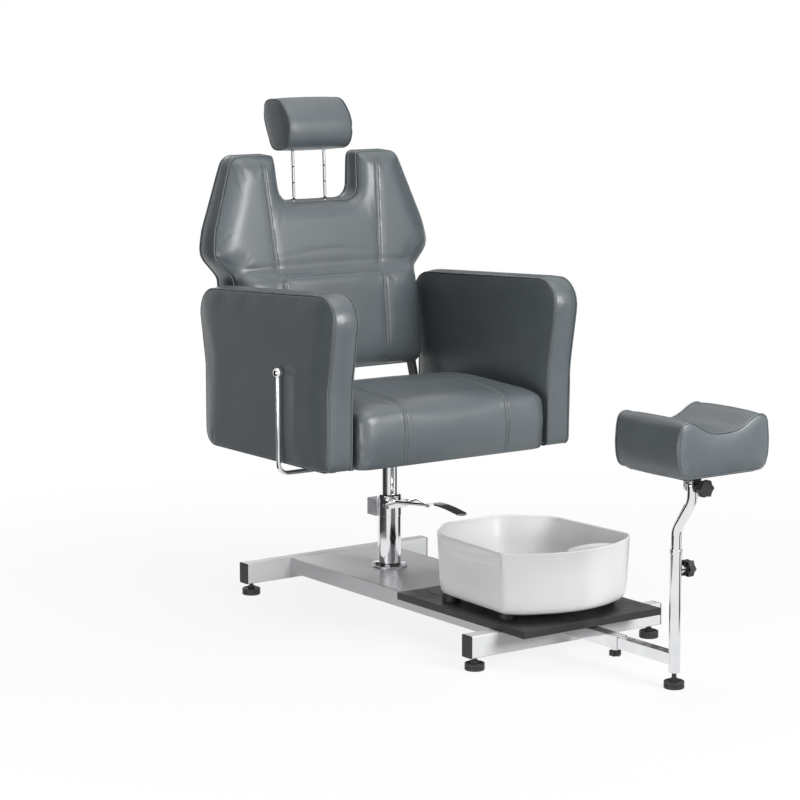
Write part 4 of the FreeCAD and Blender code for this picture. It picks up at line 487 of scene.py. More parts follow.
def rounded(corners, arc_points=8):
    """Points round a closed outline whose corners (u, v, radius) are turned by tangent arcs."""
    points = []
    for i, (u, v, radius) in enumerate(corners):
        here = np.array((u, v))
        before = np.array(corners[i - 1][:2]) - here
        after = np.array(corners[(i + 1) % len(corners)][:2]) - here
        half_turn = math.acos(np.clip(unit(before) @ unit(after), -1, 1)) / 2
        longest = 0.49 * min(np.linalg.norm(before), np.linalg.norm(after))
        reach = min(radius / math.tan(half_turn), longest) if radius > 0 else 0.0
        start, end = here + unit(before) * reach, here + unit(after) * reach
        sweep = math.pi - 2 * half_turn
        shares = np.linspace(0, 1, arc_points)[:, None]
        if sweep < 0.02 or reach == 0:
            points.append(start + (end - start) * shares)
            continue
        centre = here + unit(unit(before) + unit(after)) * reach / math.cos(half_turn)
        leaving = (start - centre) * np.sin((1 - shares) * sweep)
        arriving = (end - centre) * np.sin(shares * sweep)
        points.append(centre + (leaving + arriving) / math.sin(sweep))
    return np.concatenate(points)


def drawn_in(corners, inset, shares=None):
    """The corners moved inwards by inset times each edge's share; edge i runs to the next corner."""
    count = len(corners)
    shares = shares or [1.0] * count
    spots = np.array([corner[:2] for corner in corners])
    following = np.roll(spots, -1, axis=0)
    area = np.sum(spots[:, 0] * following[:, 1] - following[:, 0] * spots[:, 1])
    turning = 1 if area > 0 else -1
    moved = []
    for i, (u, v, radius) in enumerate(corners):
        before, after = unit(spots[i] - spots[i - 1]), unit(following[i] - spots[i])
        normal_before = np.array((-before[1], before[0])) * turning
        normal_after = np.array((-after[1], after[0])) * turning
        step_before, step_after = inset * shares[i - 1], inset * shares[i]
        bend = before[0] * after[1] - before[1] * after[0]
        if abs(bend) < 0.05:
            shift = (normal_before + normal_after) * (step_before + step_after) / 4
        else:
            along = (step_after - step_before * (normal_before @ normal_after)) / (before @ normal_after)
            shift = normal_before * step_before + before * along
        tighter = radius - inset if bend * turning > 0 else radius + inset
        moved.append((u + shift[0], v + shift[1], max(tighter, radius * 0.35)))
    return moved


def softened(outline, width, closed_steps=240):
    """A closed outline blurred along its length, so that one arc runs softly into the next."""
    ring = np.vstack((outline, outline[:1]))
    steps = np.concatenate(([0.0], np.cumsum(np.linalg.norm(np.diff(ring, axis=0), axis=1))))
    places = np.linspace(0, steps[-1], closed_steps, endpoint=False)
    even = read_at(places, steps, ring)
    turns = np.fft.fftfreq(closed_steps, steps[-1] / closed_steps)
    blur = np.exp(-2 * (math.pi * turns * width) ** 2)
    return np.fft.ifft(np.fft.fft(even, axis=0) * blur[:, None], axis=0).real


square = [(0, 0, 0.1), (1, 0, 0.1), (1, 1, 0.1), (0, 1, 0.1)]
print("a square with round corners has", len(rounded(square)), "points")

# %% [markdown]
# A skin is a row of such outlines, joined ring to ring and closed at both ends. Several skins that
# overlap can go into one mesh, because the voxel remesh that follows melts them into one skin
# with even faces. Even faces matter: cloth that is simulated on long thin faces crumples.

# %% Skins and even meshes


def skin(rings):
    """Corners and faces of a closed skin over rings of equal length."""
    size = len(rings[0])
    corners = np.concatenate(rings)
    faces = []
    for i in range(len(rings) - 1):
        low, high = i * size, (i + 1) * size
        faces += [(low + j, low + (j + 1) % size, high + (j + 1) % size, high + j) for j in range(size)]
    last = (len(rings) - 1) * size
    faces += [tuple(reversed(range(size))), tuple(range(last, last + size))]
    return corners, faces


def mesh_piece(name, skins, material):
    """A new object from one or more skins."""
    corners, faces, start = [], [], 0
    for spots, joined in skins:
        corners.append(spots)
        faces += [tuple(start + k for k in face) for face in joined]
        start += len(spots)
    mesh = bpy.data.meshes.new(name)
    mesh.from_pydata(np.concatenate(corners).tolist(), [], faces)
    mesh.materials.append(material)
    return placed(name, mesh)


def settle_modifiers(piece):
    """Makes what the modifiers show the piece's own mesh."""
    graph = bpy.context.evaluated_depsgraph_get()
    made = bpy.data.meshes.new_from_object(piece.evaluated_get(graph))
    piece.modifiers.clear()
    piece.data = made


def even_mesh(piece, voxel, rounds=6):
    """Melts the piece's skins into one with faces of about one voxel, and eases its steps."""
    remesh = piece.modifiers.new("even", "REMESH")
    remesh.mode = "VOXEL"
    remesh.voxel_size = voxel
    ease = piece.modifiers.new("ease", "SMOOTH")
    ease.factor = 0.5
    ease.iterations = rounds
    settle_modifiers(piece)


def vertex_rows(piece, kind="co"):
    """Three numbers for each vertex: "co" is where it lies and "normal" is the way it faces."""
    rows = np.zeros(len(piece.data.vertices) * 3)
    piece.data.vertices.foreach_get(kind, rows)
    return rows.reshape(-1, 3)


def move_to(piece, spots):
    piece.data.vertices.foreach_set("co", spots.astype(np.float32).ravel())
    piece.data.update()


print("skin helpers ready")

# %% [markdown]
# Real upholstery is foam that pushes a sewn cover outwards. Cloth simulation does the same: the
# cover starts a little too small, air pressure swells it, and the seams hold it back, so each
# panel bellies between its seams. How far a point may move is capped softly, so that the cushion
# keeps the size of the space it fills.

# %% Foam pressure


def lines_tree(lines):
    """A search tree over the points of several lines."""
    spots = np.concatenate(lines)
    tree = KDTree(len(spots))
    for i, spot in enumerate(spots):
        tree.insert(spot, i)
    tree.balance()
    return tree


def distances(piece, tree):
    return np.array([tree.find(spot)[2] for spot in vertex_rows(piece)])


seam_hold, seam_easing = mm(9, 18)
pinned_below = 0.35


def swell(piece, seams, cap, shrink=mm(2.0), held=None, pressure=4.0, frames=20):
    """Blows the cover up from a slightly smaller shape; seams, and what held() picks, stay put."""
    start = vertex_rows(piece)
    outwards = vertex_rows(piece, "normal")
    from_seam = distances(piece, lines_tree(seams))
    loose = np.clip(from_seam / seam_hold, 0, 1)
    if held is not None:
        loose = np.where(held(start), 0.0, loose)
    start = start - outwards * shrink * loose[:, None]
    move_to(piece, start)
    pinned = piece.vertex_groups.new(name="pinned")
    for i in np.nonzero(loose < pinned_below)[0]:
        pinned.add([int(i)], 1.0, "REPLACE")
    cloth = piece.modifiers.new("foam", "CLOTH")
    cloth.settings.quality = 5
    cloth.settings.mass = 0.3
    cloth.settings.use_pressure = True
    cloth.settings.uniform_pressure_force = pressure
    cloth.settings.vertex_group_mass = "pinned"
    cloth.settings.effector_weights.gravity = 0.0
    cloth.point_cache.frame_start = 1
    cloth.point_cache.frame_end = frames
    scene = bpy.context.scene
    for number in range(1, frames + 1):
        scene.frame_set(number)
    shown = piece.evaluated_get(bpy.context.evaluated_depsgraph_get())
    travel = vertex_rows(shown) - start
    far = np.maximum(np.linalg.norm(travel, axis=1), 1e-9)
    room = np.maximum(cap(start, outwards) * np.clip(from_seam / seam_easing, 0, 1), 1e-6)
    eased = room * np.tanh(far / room)
    piece.modifiers.clear()
    piece.vertex_groups.clear()
    move_to(piece, start + travel * (eased / far)[:, None])
    scene.frame_set(1)
    print(piece.name, "swelled by up to", round(float(eased.max()) * 1000, 1), "mm")


print("pressure helper ready")

# %% [markdown]
# A sewn seam shows as a fine valley with a row of stitches on each side. The valley is narrower
# than the faces of an even mesh, so the faces near a seam are split twice, and only there. Then
# each point near the seam sinks by a profile across it: a little in the middle, where the panels
# meet, and more under each row of stitches.

# %% Seams pressed into a cover
row_offset = mm(4.4)


def finer_near(piece, lines, reach, rounds=2):
    """Splits the faces near the lines, to make room for a narrow shape."""
    tree = lines_tree(lines)
    mesh = bmesh.new()
    mesh.from_mesh(piece.data)
    for _ in range(rounds):
        near = {corner for corner in mesh.verts if tree.find(corner.co)[2] < reach}
        edges = [edge for edge in mesh.edges if edge.verts[0] in near and edge.verts[1] in near]
        bmesh.ops.subdivide_edges(mesh, edges=edges, cuts=1, use_grid_fill=True)
    mesh.to_mesh(piece.data)
    mesh.free()


def dip(distance, depth, width):
    """A soft valley: as deep as that in its middle, and nearly level at twice the width."""
    return depth * np.exp(-((distance / width) ** 2))


def sewn_profile(distance):
    """A double-stitched seam, by the distance from its middle line."""
    return dip(distance, mm(0.8), mm(1.1)) + dip(distance - row_offset, mm(1.3), mm(1.6))


def row_profile(distance):
    """A single row of stitches."""
    return dip(distance, mm(1.5), mm(1.7))


def edge_profile(distance):
    """The cover beside a welt."""
    return dip(distance, mm(2.4), mm(3.4))


def press(piece, lines, profile):
    outwards = vertex_rows(piece, "normal")
    depth = profile(distances(piece, lines_tree(lines)))
    move_to(piece, vertex_rows(piece) - outwards * depth[:, None])


def evenly(points, spacing, closed=False):
    """The same line with points at even steps."""
    points = np.asarray(points, float)
    if closed:
        points = np.vstack((points, points[:1]))
    steps = np.linalg.norm(np.diff(points, axis=0), axis=1)
    along = np.concatenate(([0.0], np.cumsum(steps)))
    keep = np.concatenate(([True], steps > 1e-9))
    count = max(2, round(along[-1] / spacing))
    places = np.linspace(0, along[-1], count + 1)
    if closed:
        places = places[:-1]
    return read_at(places, along[keep], points[keep])


def laid_on(piece, points, closed=False, rounds=3):
    """A line carried to the nearest places on a finished cover, with the cover's directions there."""
    tree = BVHTree.FromObject(piece, bpy.context.evaluated_depsgraph_get())
    found = [tree.find_nearest(Vector(point)) for point in points]
    spots = np.array([hit[0] for hit in found])
    outwards = np.array([hit[1] for hit in found])
    for _ in range(rounds):
        before, after = np.roll(spots, 1, axis=0), np.roll(spots, -1, axis=0)
        sides, turns = np.roll(outwards, 1, axis=0), np.roll(outwards, -1, axis=0)
        eased = (before + 2 * spots + after) / 4
        directions = sides + 2 * outwards + turns
        if not closed:
            eased[[0, -1]] = spots[[0, -1]]
            directions[[0, -1]] = outwards[[0, -1]]
        spots = eased
        outwards = units(directions)
    return spots, outwards


print("seam helpers ready")

# %% [markdown]
# Stitches and welts are thin round things that follow a line over the cover. One function sweeps
# a small circle along any line. A stitch is a short sweep whose ends dive into the cover, and a
# welt, the thin cord sewn into an edge, is one long closed sweep.

# %% Swept threads and welts


def sweep(points, radii, outwards, closed=False, sides=8):
    """A skin round a line, with a radius at each point."""
    ahead = np.roll(points, -1, axis=0) - np.roll(points, 1, axis=0)
    if not closed:
        ahead[0], ahead[-1] = points[1] - points[0], points[-1] - points[-2]
    ahead = units(ahead)
    across = units(np.cross(ahead, outwards))
    up = np.cross(across, ahead)
    angles = np.linspace(0, 2 * math.pi, sides, endpoint=False)
    rings = []
    for spot, radius, right, above in zip(points, radii, across, up):
        turned = np.cos(angles)[:, None] * right + np.sin(angles)[:, None] * above
        rings.append(spot + radius * turned)
    corners, faces = skin(rings)
    if closed:
        faces = faces[:-2]
        last = (len(rings) - 1) * sides
        faces += [(last + j, last + (j + 1) % sides, (j + 1) % sides, j) for j in range(sides)]
    return corners, faces


stitch_length = mm(3.4)
stitch_pitch = mm(4.6)
stitch_rise = mm(0.45)
stitch_sunk = mm(0.25)
thread_radius = mm(0.42)
cord_radius = mm(1.9)
cord_proud = mm(1.6)
line_step = mm(1.5)
loop_step = mm(2)
cord_step = mm(3)
fine_reach = mm(7.5)


def stitches_along(spots, outwards, offset):
    """A row of stitches beside a line on a cover."""
    ahead = units(np.gradient(spots, axis=0))
    row = spots + units(np.cross(ahead, outwards)) * offset
    steps = np.concatenate(([0.0], np.cumsum(np.linalg.norm(np.diff(row, axis=0), axis=1))))
    shares = np.linspace(0, 1, 5)
    lift = stitch_rise * np.sin(shares * math.pi) - stitch_sunk
    widths = thread_radius * np.array((0.55, 1.0, 1.0, 1.0, 0.55))
    made = []
    for start in np.arange(stitch_pitch, steps[-1] - stitch_pitch, stitch_pitch):
        places = start + shares * stitch_length
        normal = read_at(places, steps, outwards)
        line = read_at(places, steps, row) + normal * lift[:, None]
        made.append(sweep(line, widths, normal, sides=6))
    return made


def dressed(piece, body):
    """Shades a new piece smooth and lets it ride on its body."""
    piece.data.shade_smooth()
    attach(piece, body)
    return piece


def sew(name, cover, lines, body, offsets=(-row_offset, row_offset)):
    """Rows of stitches beside each line, as one piece of thread work."""
    rows = []
    for line in lines:
        spots, outwards = laid_on(cover, evenly(line, line_step))
        for offset in offsets:
            rows += stitches_along(spots, outwards, offset)
    return dressed(mesh_piece(name, rows, thread), body)


def welt(name, cover, loops, body, radius=cord_radius):
    """A thin covered cord round each closed loop."""
    cords = []
    for loop in loops:
        spots, outwards = laid_on(cover, evenly(loop, cord_step, closed=True), closed=True)
        middle = spots + outwards * cord_proud
        cords.append(sweep(middle, np.full(len(spots), radius), outwards, closed=True, sides=10))
    return dressed(mesh_piece(name, cords, leatherette), body)


def covered(piece, cuts):
    """One subdivision over the settled cover, then finer faces near the cuts."""
    smooth = piece.modifiers.new("round", "SUBSURF")
    smooth.levels = smooth.render_levels = 1
    settle_modifiers(piece)
    finer_near(piece, cuts, fine_reach)


def stands_for(cover, node, body):
    """Puts a finished cover in the place of its packed block, as foam under cloth."""
    dressed(cover, body)
    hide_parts(node)


def loops_at(outline, places, inset=0.0):
    """The closed line of a cushion's outline at each of the places."""
    return [evenly(outline(place, inset), loop_step, closed=True) for place in places]


def at_x(x, outline):
    """A side view outline (y, z), set up at one place across the bench."""
    return np.column_stack((np.full(len(outline), x), outline))


def below(height):
    """Picks the points under a height, where a cover is stapled to its board."""
    return lambda spots: spots[:, 2] < height


print("thread helpers ready")

# %% [markdown]
# The seat is a box cushion over a plywood base. Its cover is three panels that run from under the
# front edge over the top to the back, so two seams show, each stitched double. Side view outlines
# are placed across the seat, drawn in towards the sides and crowned in the middle. Heights and
# depths are measured from the pump column's axis and from the seat base, which the frame gives.

# %% Seat form
cylinder_low, cylinder_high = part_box("pump_cylinder")
column_y = (cylinder_low.y + cylinder_high.y) / 2
seat_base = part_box("seat_frame")[0].z
seat_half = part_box("seat_cushion")[1].x
seat_front = column_y - mm(269)
seat_rear = column_y + mm(175)
seat_edge = seat_base + mm(139)
seat_crown = mm(26)
seat_side_roll = mm(40)
seat_side_draw = mm(24)
seat_seam_x = mm(146)
base_lift = mm(1.5)


def seat_outline(x):
    """The seat's side view at one place across it."""
    toward = max(0.0, (abs(x) - seat_half + seat_side_roll) / seat_side_roll)
    roll = 1 - math.sqrt(1 - toward**2)
    draw = seat_side_draw * roll
    crown = seat_crown * (1 - (abs(x) / seat_half) ** 8)
    front, rear = seat_front + draw, seat_rear - draw / 2
    base, edge = seat_base + base_lift, seat_edge - draw / 2
    corners = [
        (rear, base, mm(12)),
        (rear, edge - mm(4), mm(24)),
        (rear + (front - rear) * 0.45, edge + crown, mm(360)),
        (front + mm(30), edge + crown * 0.35, mm(90)),
        (front, edge - mm(7), mm(30)),
        (front - mm(8), base + (edge - base) * 0.5, mm(120)),
        (front, base, mm(12)),
    ]
    return at_x(x, rounded(corners, 10))


def seat_stations():
    """Places across the seat, closer together where the sides roll over."""
    flat = seat_half - seat_side_roll
    roll = [flat + seat_side_roll * math.sin(math.radians(angle)) for angle in (18, 36, 54, 68, 80, 90)]
    return [-x for x in reversed(roll)] + list(np.linspace(-flat, flat, 15)) + roll


seat_cover = mesh_piece("seat_cover", [skin([seat_outline(x) for x in seat_stations()])], leatherette)
even_mesh(seat_cover, mm(6.5))
print("seat faces", len(seat_cover.data.polygons))

# %% [markdown]
# Each seam follows the seat's own outline from the bottom of the front to the back edge. The
# cover is pinned there and underneath, blown up, and then the seams are pressed and sewn.

# %% Seat cover


def seat_seam(x):
    outline = seat_outline(x)
    above = outline[outline[:, 2] > seat_base + mm(9)]
    return evenly(above[::-1], line_step)


def even_cap(size, side=mm(2.0)):
    """A cap of one size, but smaller where the cover faces a neighbour beside it."""
    return lambda spots, outwards: np.where(np.abs(outwards[:, 0]) > 0.6, side, size)


seat_seams = [seat_seam(-seat_seam_x), seat_seam(seat_seam_x)]
swell(seat_cover, seat_seams, even_cap(mm(4)), held=below(seat_base + mm(5)))
covered(seat_cover, seat_seams)
press(seat_cover, seat_seams, sewn_profile)
stands_for(seat_cover, "seat_cushion", "seat")
sew("seat_stitching", seat_cover, seat_seams, "seat")
print("seat faces", len(seat_cover.data.polygons))

# %% [markdown]
# An armrest is a plywood core between two foam pads. Two side panels share one long band that
# runs round the edge, and a welt closes each joint. The side view widens upwards, and its top
# falls a little to the rear. Each side panel bellies out like a pillow from its welt, so its edge
# is a quarter of an ellipse.

# %% Armrest form
arm_inner = seat_half + mm(7)
arm_outer = arm_inner + mm(76)
arm_shares = [
    (0.0, 0.0, 0.03),
    (-0.008, 0.494, 0.37),
    (-0.076, 1.012, 0.155),
    (1.064, 0.935, 0.15),
    (1.0, 0.494, 0.37),
    (1.0, 0.0, 0.09),
]
arm_front = column_y - mm(252)
arm_depth = mm(520)
arm_height = mm(401)
arm_base = seat_base + mm(2)
arm_belly_shares = [0.4, 1.0, 1.0, 0.5, 0.4, 0.0]
quarter = np.radians(np.linspace(0, 90, 8))


def sized(shares, start, size, turn):
    """Corners (u, v, radius) from shares of a size, counted from a start."""
    return [(start[0] + size[0] * u, start[1] + size[1] * v, turn * radius) for u, v, radius in shares]


def pattern(corners, inset, blur, shares=None):
    """A whole outline: drawn in, rounded at its corners and blurred."""
    return softened(rounded(drawn_in(corners, inset, shares), 10), blur)


arm_corners = sized(arm_shares, (arm_front, arm_base), (arm_depth, arm_height), arm_height)


def arm_outline(x, inset, shares=None):
    return at_x(x, pattern(arm_corners, inset, mm(5), shares))


def pillow_edge(seam, depth, width):
    """(place, inset) from a seam, where the inset is nothing, to the flat of a bellied panel."""
    return [(seam + depth * math.sin(angle), width * (1 - math.cos(angle))) for angle in quarter]


inner_seam_x = arm_inner + mm(6)
outer_seam_x = arm_outer - mm(5)
inner_edge = pillow_edge(inner_seam_x, -mm(6), mm(34))
outer_edge = pillow_edge(outer_seam_x, mm(11), mm(60))
band_belly = mm(6)
band = []
for share in np.linspace(0, 1, 11)[1:-1]:
    belly = band_belly * (1 - abs(2 * share - 1) ** 2.5)
    band.append((inner_seam_x + (outer_seam_x - inner_seam_x) * share, -belly))
arm_rings = [arm_outline(x, inset) for x, inset in reversed(inner_edge)]
arm_rings += [arm_outline(x, inset, arm_belly_shares) for x, inset in band]
arm_rings += [arm_outline(x, inset) for x, inset in outer_edge]
armrest_left_cover = mesh_piece("armrest_left_cover", [skin(arm_rings)], leatherette)
even_mesh(armrest_left_cover, mm(5.5), 3)
print("armrest faces", len(armrest_left_cover.data.polygons))

# %% [markdown]
# One armrest is simulated and the other is its mirror image, as the real pair is cut from one
# pattern laid face to face. The mirrored mesh has its faces turned inside out, so they are
# flipped back.

# %% Armrest covers
arm_seams = loops_at(arm_outline, (inner_seam_x, outer_seam_x))
swell(armrest_left_cover, arm_seams, even_cap(mm(2.5)), held=below(arm_base + mm(4)))
covered(armrest_left_cover, arm_seams)
press(armrest_left_cover, arm_seams, edge_profile)
armrest_right_cover = placed("armrest_right_cover", armrest_left_cover.data.copy())
armrest_right_cover.data.name = "armrest_right_cover"
to_the_right = np.array((-1, 1, 1))
move_to(armrest_right_cover, vertex_rows(armrest_right_cover) * to_the_right)
armrest_right_cover.data.flip_normals()
right_seams = [line * to_the_right for line in arm_seams]
for cover, node, loops in (
    (armrest_left_cover, "armrest_left", arm_seams),
    (armrest_right_cover, "armrest_right", right_seams),
):
    stands_for(cover, node, "seat")
    welt(node + "_welts", cover, loops, "seat")
print("armrest faces", len(armrest_left_cover.data.polygons))

# %% [markdown]
# The backrest is one tall board cushion, wide at the hips and cut out at the top, where the
# headrest's posts go in. Its face has a lower and an upper pad, each crowned, with a soft crease
# between them. The body is a leaning slab, and each pad is a stack of outlines that draw in as
# they come forward, by a quarter ellipse again. The three skins overlap and are melted together.

# %% Backrest form
hinge_y = column_y + mm(205)
back_base = seat_base + mm(155)
waist_z = back_base + mm(236)
hip_z = back_base + mm(292)
flank_z = back_base + mm(350)
back_top = back_base + mm(527)
crease_z = back_base + mm(249)
notch_floor = back_top - mm(115)
waist_half, hip_half, flank_half, shoulder_half = mm(268, 318, 308, 243)
lower_half = [(waist_half, back_base, mm(34)), (waist_half, waist_z, mm(20))]
upper_half = [
    (hip_half, hip_z, mm(41)),
    (flank_half, flank_z, mm(136)),
    (shoulder_half, back_top, mm(31)),
    (mm(121), back_top, mm(9)),
    (mm(114), notch_floor, mm(35)),
]


def face_y(z):
    """How far back the front edge of the backrest lies at a height."""
    return hinge_y + mm(74) + 0.16 * (z - hip_z)


def rear_y(z):
    return hinge_y + mm(148) + 0.045 * (z - hip_z)


def both_sides(half):
    return half + [(-x, z, radius) for x, z, radius in reversed(half)]


def slab_ring(corners, inset, depth_share, back_by=0.0):
    """An outline on a plane inside the slab: 0 is its front edge and 1 its rear face."""
    outline = rounded(drawn_in(corners, inset))
    x, z = outline[:, 0], outline[:, 1]
    y = face_y(z) + (rear_y(z) - face_y(z)) * depth_share - back_by
    return np.column_stack((x, y, z))


def pad_ring(corners, inset, shares, forward, low, high):
    """An outline in front of the edge plane, by a crown that changes evenly with height."""
    outline = rounded(drawn_in(corners, inset, shares))
    x, z = outline[:, 0], outline[:, 1]
    (low_z, low_crown), (high_z, high_crown) = low, high
    crown = low_crown + (high_crown - low_crown) * (z - low_z) / (high_z - low_z)
    return np.column_stack((x, face_y(z) - crown * forward, z))


def crowned_pad(half, shares, low, high):
    """A pad of the face: outlines from inside the slab to the crown's flat."""
    corners = both_sides(half)
    edge_width = mm(58)
    rings = [pad_ring(corners, mm(1), None, -0.5, low, high)]
    for angle in quarter:
        inset = edge_width * (1 - math.cos(angle))
        rings.append(pad_ring(corners, inset, shares, math.sin(angle), low, high))
    return skin(rings)


back_corners = both_sides(lower_half + upper_half)
flank_bulge, rear_inset, rear_round, crease_gap = mm(4, 36, 10, 1.2)
slab_rings = [slab_ring(back_corners, mm(1), 0.04), slab_ring(back_corners, 0.0, 0.1)]
for share in (0.25, 0.4, 0.55, 0.7):
    slab_rings.append(slab_ring(back_corners, -flank_bulge * math.sin(math.pi * share), share))
for angle in quarter:
    inset, back_by = rear_inset * (1 - math.cos(angle)), rear_round * (1 - math.sin(angle))
    slab_rings.append(slab_ring(back_corners, inset, 1.0, back_by))
crease_half_width = waist_half + (hip_half - waist_half) * (crease_z - waist_z) / (hip_z - waist_z)
lower_pad = crowned_pad(
    [(waist_half, back_base, mm(34)), (waist_half, crease_z - crease_gap, mm(5))],
    [1, 0.3, 1, 1],
    (back_base, mm(31)),
    (crease_z, mm(48)),
)
upper_pad = crowned_pad(
    [(crease_half_width, crease_z + crease_gap, mm(5))] + upper_half,
    [1, 1, 1, 0.7, 0.7, 0.7, 0.7, 0.7, 1, 1, 1, 0.3],
    (crease_z, mm(24)),
    (back_top, mm(28)),
)
backrest_cover = mesh_piece("backrest_cover", [skin(slab_rings), lower_pad, upper_pad], leatherette)
even_mesh(backrest_cover, mm(6))


def soften_fold(piece, height, reach, rounds):
    """Melts the ledge where two pads meet into one soft fold."""
    spots = vertex_rows(piece)
    in_front = spots[:, 1] < face_y(spots[:, 2]) - mm(2)
    near = dip(spots[:, 2] - height, 1.0, reach) * in_front
    fold = piece.vertex_groups.new(name="fold")
    for i in np.nonzero(near > 0.02)[0]:
        fold.add([int(i)], float(near[i]), "REPLACE")
    ease = piece.modifiers.new("ease", "SMOOTH")
    ease.vertex_group = "fold"
    ease.factor = 0.5
    ease.iterations = rounds
    settle_modifiers(piece)
    piece.vertex_groups.clear()


soften_fold(backrest_cover, crease_z, mm(34), 60)
print("backrest faces", len(backrest_cover.data.polygons))

# %% [markdown]
# Two long seams run down the face and lean outwards towards the shoulders, and a short double
# seam joins them along the crease. A welt follows the edge of the face, the notch included, and
# another the edge of the back. The seams are drawn in front of the cushion, and each is carried
# to the nearest place on it.

# %% Backrest seams


def face_line(points):
    """Points (x, z, forward) in front of the edge plane, as a line with even steps."""
    return evenly([(x, face_y(z) - forward, z) for x, z, forward in points], line_step)


def long_seam(side):
    """A seam's two lines, below and above the crease, on one side of the middle."""
    low = [(side * mm(147), back_base + mm(8), mm(28)), (side * mm(147), crease_z - mm(6), mm(44))]
    high = [(side * mm(151.5), crease_z + mm(6), mm(28)), (side * mm(167), back_top - mm(10), mm(24))]
    return [face_line(low), face_line(high)]


crease_seam = face_line([(side * mm(143), crease_z, mm(40)) for side in (-1, 1)])
back_seams = long_seam(1) + long_seam(-1) + [crease_seam]
edge_line = evenly(slab_ring(back_corners, 0.0, 0.0), loop_step, closed=True)
rear_line = evenly(slab_ring(back_corners, 0.0, 1.0, rear_round), loop_step, closed=True)
print("seam lines", len(back_seams), "and two edge lines")

# %% Backrest cover


def back_cap(spots, outwards):
    """Less room beside the armrests than elsewhere."""
    beside = (np.abs(outwards[:, 0]) > 0.5) & (spots[:, 2] < waist_z + mm(20))
    return np.where(beside, mm(1.5), mm(2.4))


swell(backrest_cover, back_seams + [edge_line, rear_line], back_cap)
covered(backrest_cover, back_seams + [edge_line])
press(backrest_cover, [laid_on(backrest_cover, line)[0] for line in back_seams], sewn_profile)
press(backrest_cover, [edge_line], edge_profile)
stands_for(backrest_cover, "backrest_cushion", "backrest")
sew("backrest_stitching", backrest_cover, back_seams, "backrest")
welt("backrest_welt", backrest_cover, [edge_line], "backrest", mm(1.7))
welt("backrest_rear_welt", backrest_cover, [rear_line], "backrest", mm(1.7))
print("backrest faces", len(backrest_cover.data.polygons))

# %% [markdown]
# The headrest is a roll with a flat back and a kidney-shaped side view. A wrap goes round it and
# two end panels close it, with a welt in each joint and one row of top stitching beside it. It is
# the smallest cushion, so its mesh is finer.

# %% Headrest
pillow_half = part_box("headrest_pillow")[1].x
pillow_base = back_top + mm(8)
pillow_front = column_y + mm(281.9)
pillow_depth, pillow_height = mm(124, 125)
pillow_draw = mm(2.5)
pillow_shares = [
    (0.42, -0.03, 0.30),
    (0.0, 0.06, 0.30),
    (-0.03, 0.62, 0.50),
    (0.36, 1.04, 0.30),
    (0.97, 1.01, 0.13),
    (1.0, 0.62, 0.50),
    (0.70, -0.02, 0.14),
]


pillow_start, pillow_size = (pillow_front, pillow_base), (pillow_depth, pillow_height)
pillow_corners = sized(pillow_shares, pillow_start, pillow_size, pillow_height)


def pillow_outline(x, inset):
    return at_x(x, pattern(pillow_corners, inset, mm(12)))


pillow_seam_x = pillow_half - mm(6)
wrap = [(share * pillow_seam_x, pillow_draw * abs(share) ** 6) for share in np.linspace(-1, 1, 17)]
end_edge = pillow_edge(pillow_seam_x, mm(6), mm(30))
pillow_rings = [pillow_outline(-x, inset + pillow_draw) for x, inset in reversed(end_edge)]
pillow_rings += [pillow_outline(x, inset) for x, inset in wrap[1:-1]]
pillow_rings += [pillow_outline(x, inset + pillow_draw) for x, inset in end_edge]
headrest_cover = mesh_piece("headrest_cover", [skin(pillow_rings)], leatherette)
even_mesh(headrest_cover, mm(3.5))
pillow_seams = loops_at(pillow_outline, (-pillow_seam_x, pillow_seam_x), pillow_draw)
swell(headrest_cover, pillow_seams, even_cap(mm(2.5)), shrink=mm(1.5))
top_stitch_x = pillow_seam_x - mm(9)
top_stitch = loops_at(pillow_outline, (-top_stitch_x, top_stitch_x))
covered(headrest_cover, pillow_seams + top_stitch)
press(headrest_cover, pillow_seams, edge_profile)
press(headrest_cover, top_stitch, row_profile)
stands_for(headrest_cover, "headrest_pillow", "headrest")
welt("headrest_welts", headrest_cover, pillow_seams, "headrest", mm(1.5))
sew("headrest_stitching", headrest_cover, top_stitch, "headrest", (0.0,))
print("headrest faces", len(headrest_cover.data.polygons))

# %% [markdown]
# The leg rest pad is a block with a trough that a calf lies in. Its cover is one long wrap and
# two end panels shaped like the section, and a welt joins them.

# %% Leg rest pad
pad_low, pad_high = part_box("leg_rest_pad")
pad_base = pad_low.z
pad_front, pad_rear = pad_low.y, pad_high.y
pad_half = mm(128)
pad_foot_half = mm(119)
pad_rail = pad_base + mm(126)
pad_trough = pad_rail - mm(35)


def pad_outline(y, inset):
    """The leg rest's section, the same along its whole length but for how far it is drawn in."""
    right = [
        (pad_foot_half, pad_base + mm(1.5), mm(24)),
        (pad_half, pad_base + mm(57), mm(90)),
        (pad_half - mm(7), pad_rail - mm(3), mm(24)),
        (mm(90), pad_rail + mm(1), mm(60)),
        (mm(36), pad_trough + mm(4), mm(90)),
    ]
    outline = softened(rounded(drawn_in(both_sides(right), inset), 9), mm(7))
    return np.column_stack((outline[:, 0], np.full(len(outline), y), outline[:, 1]))


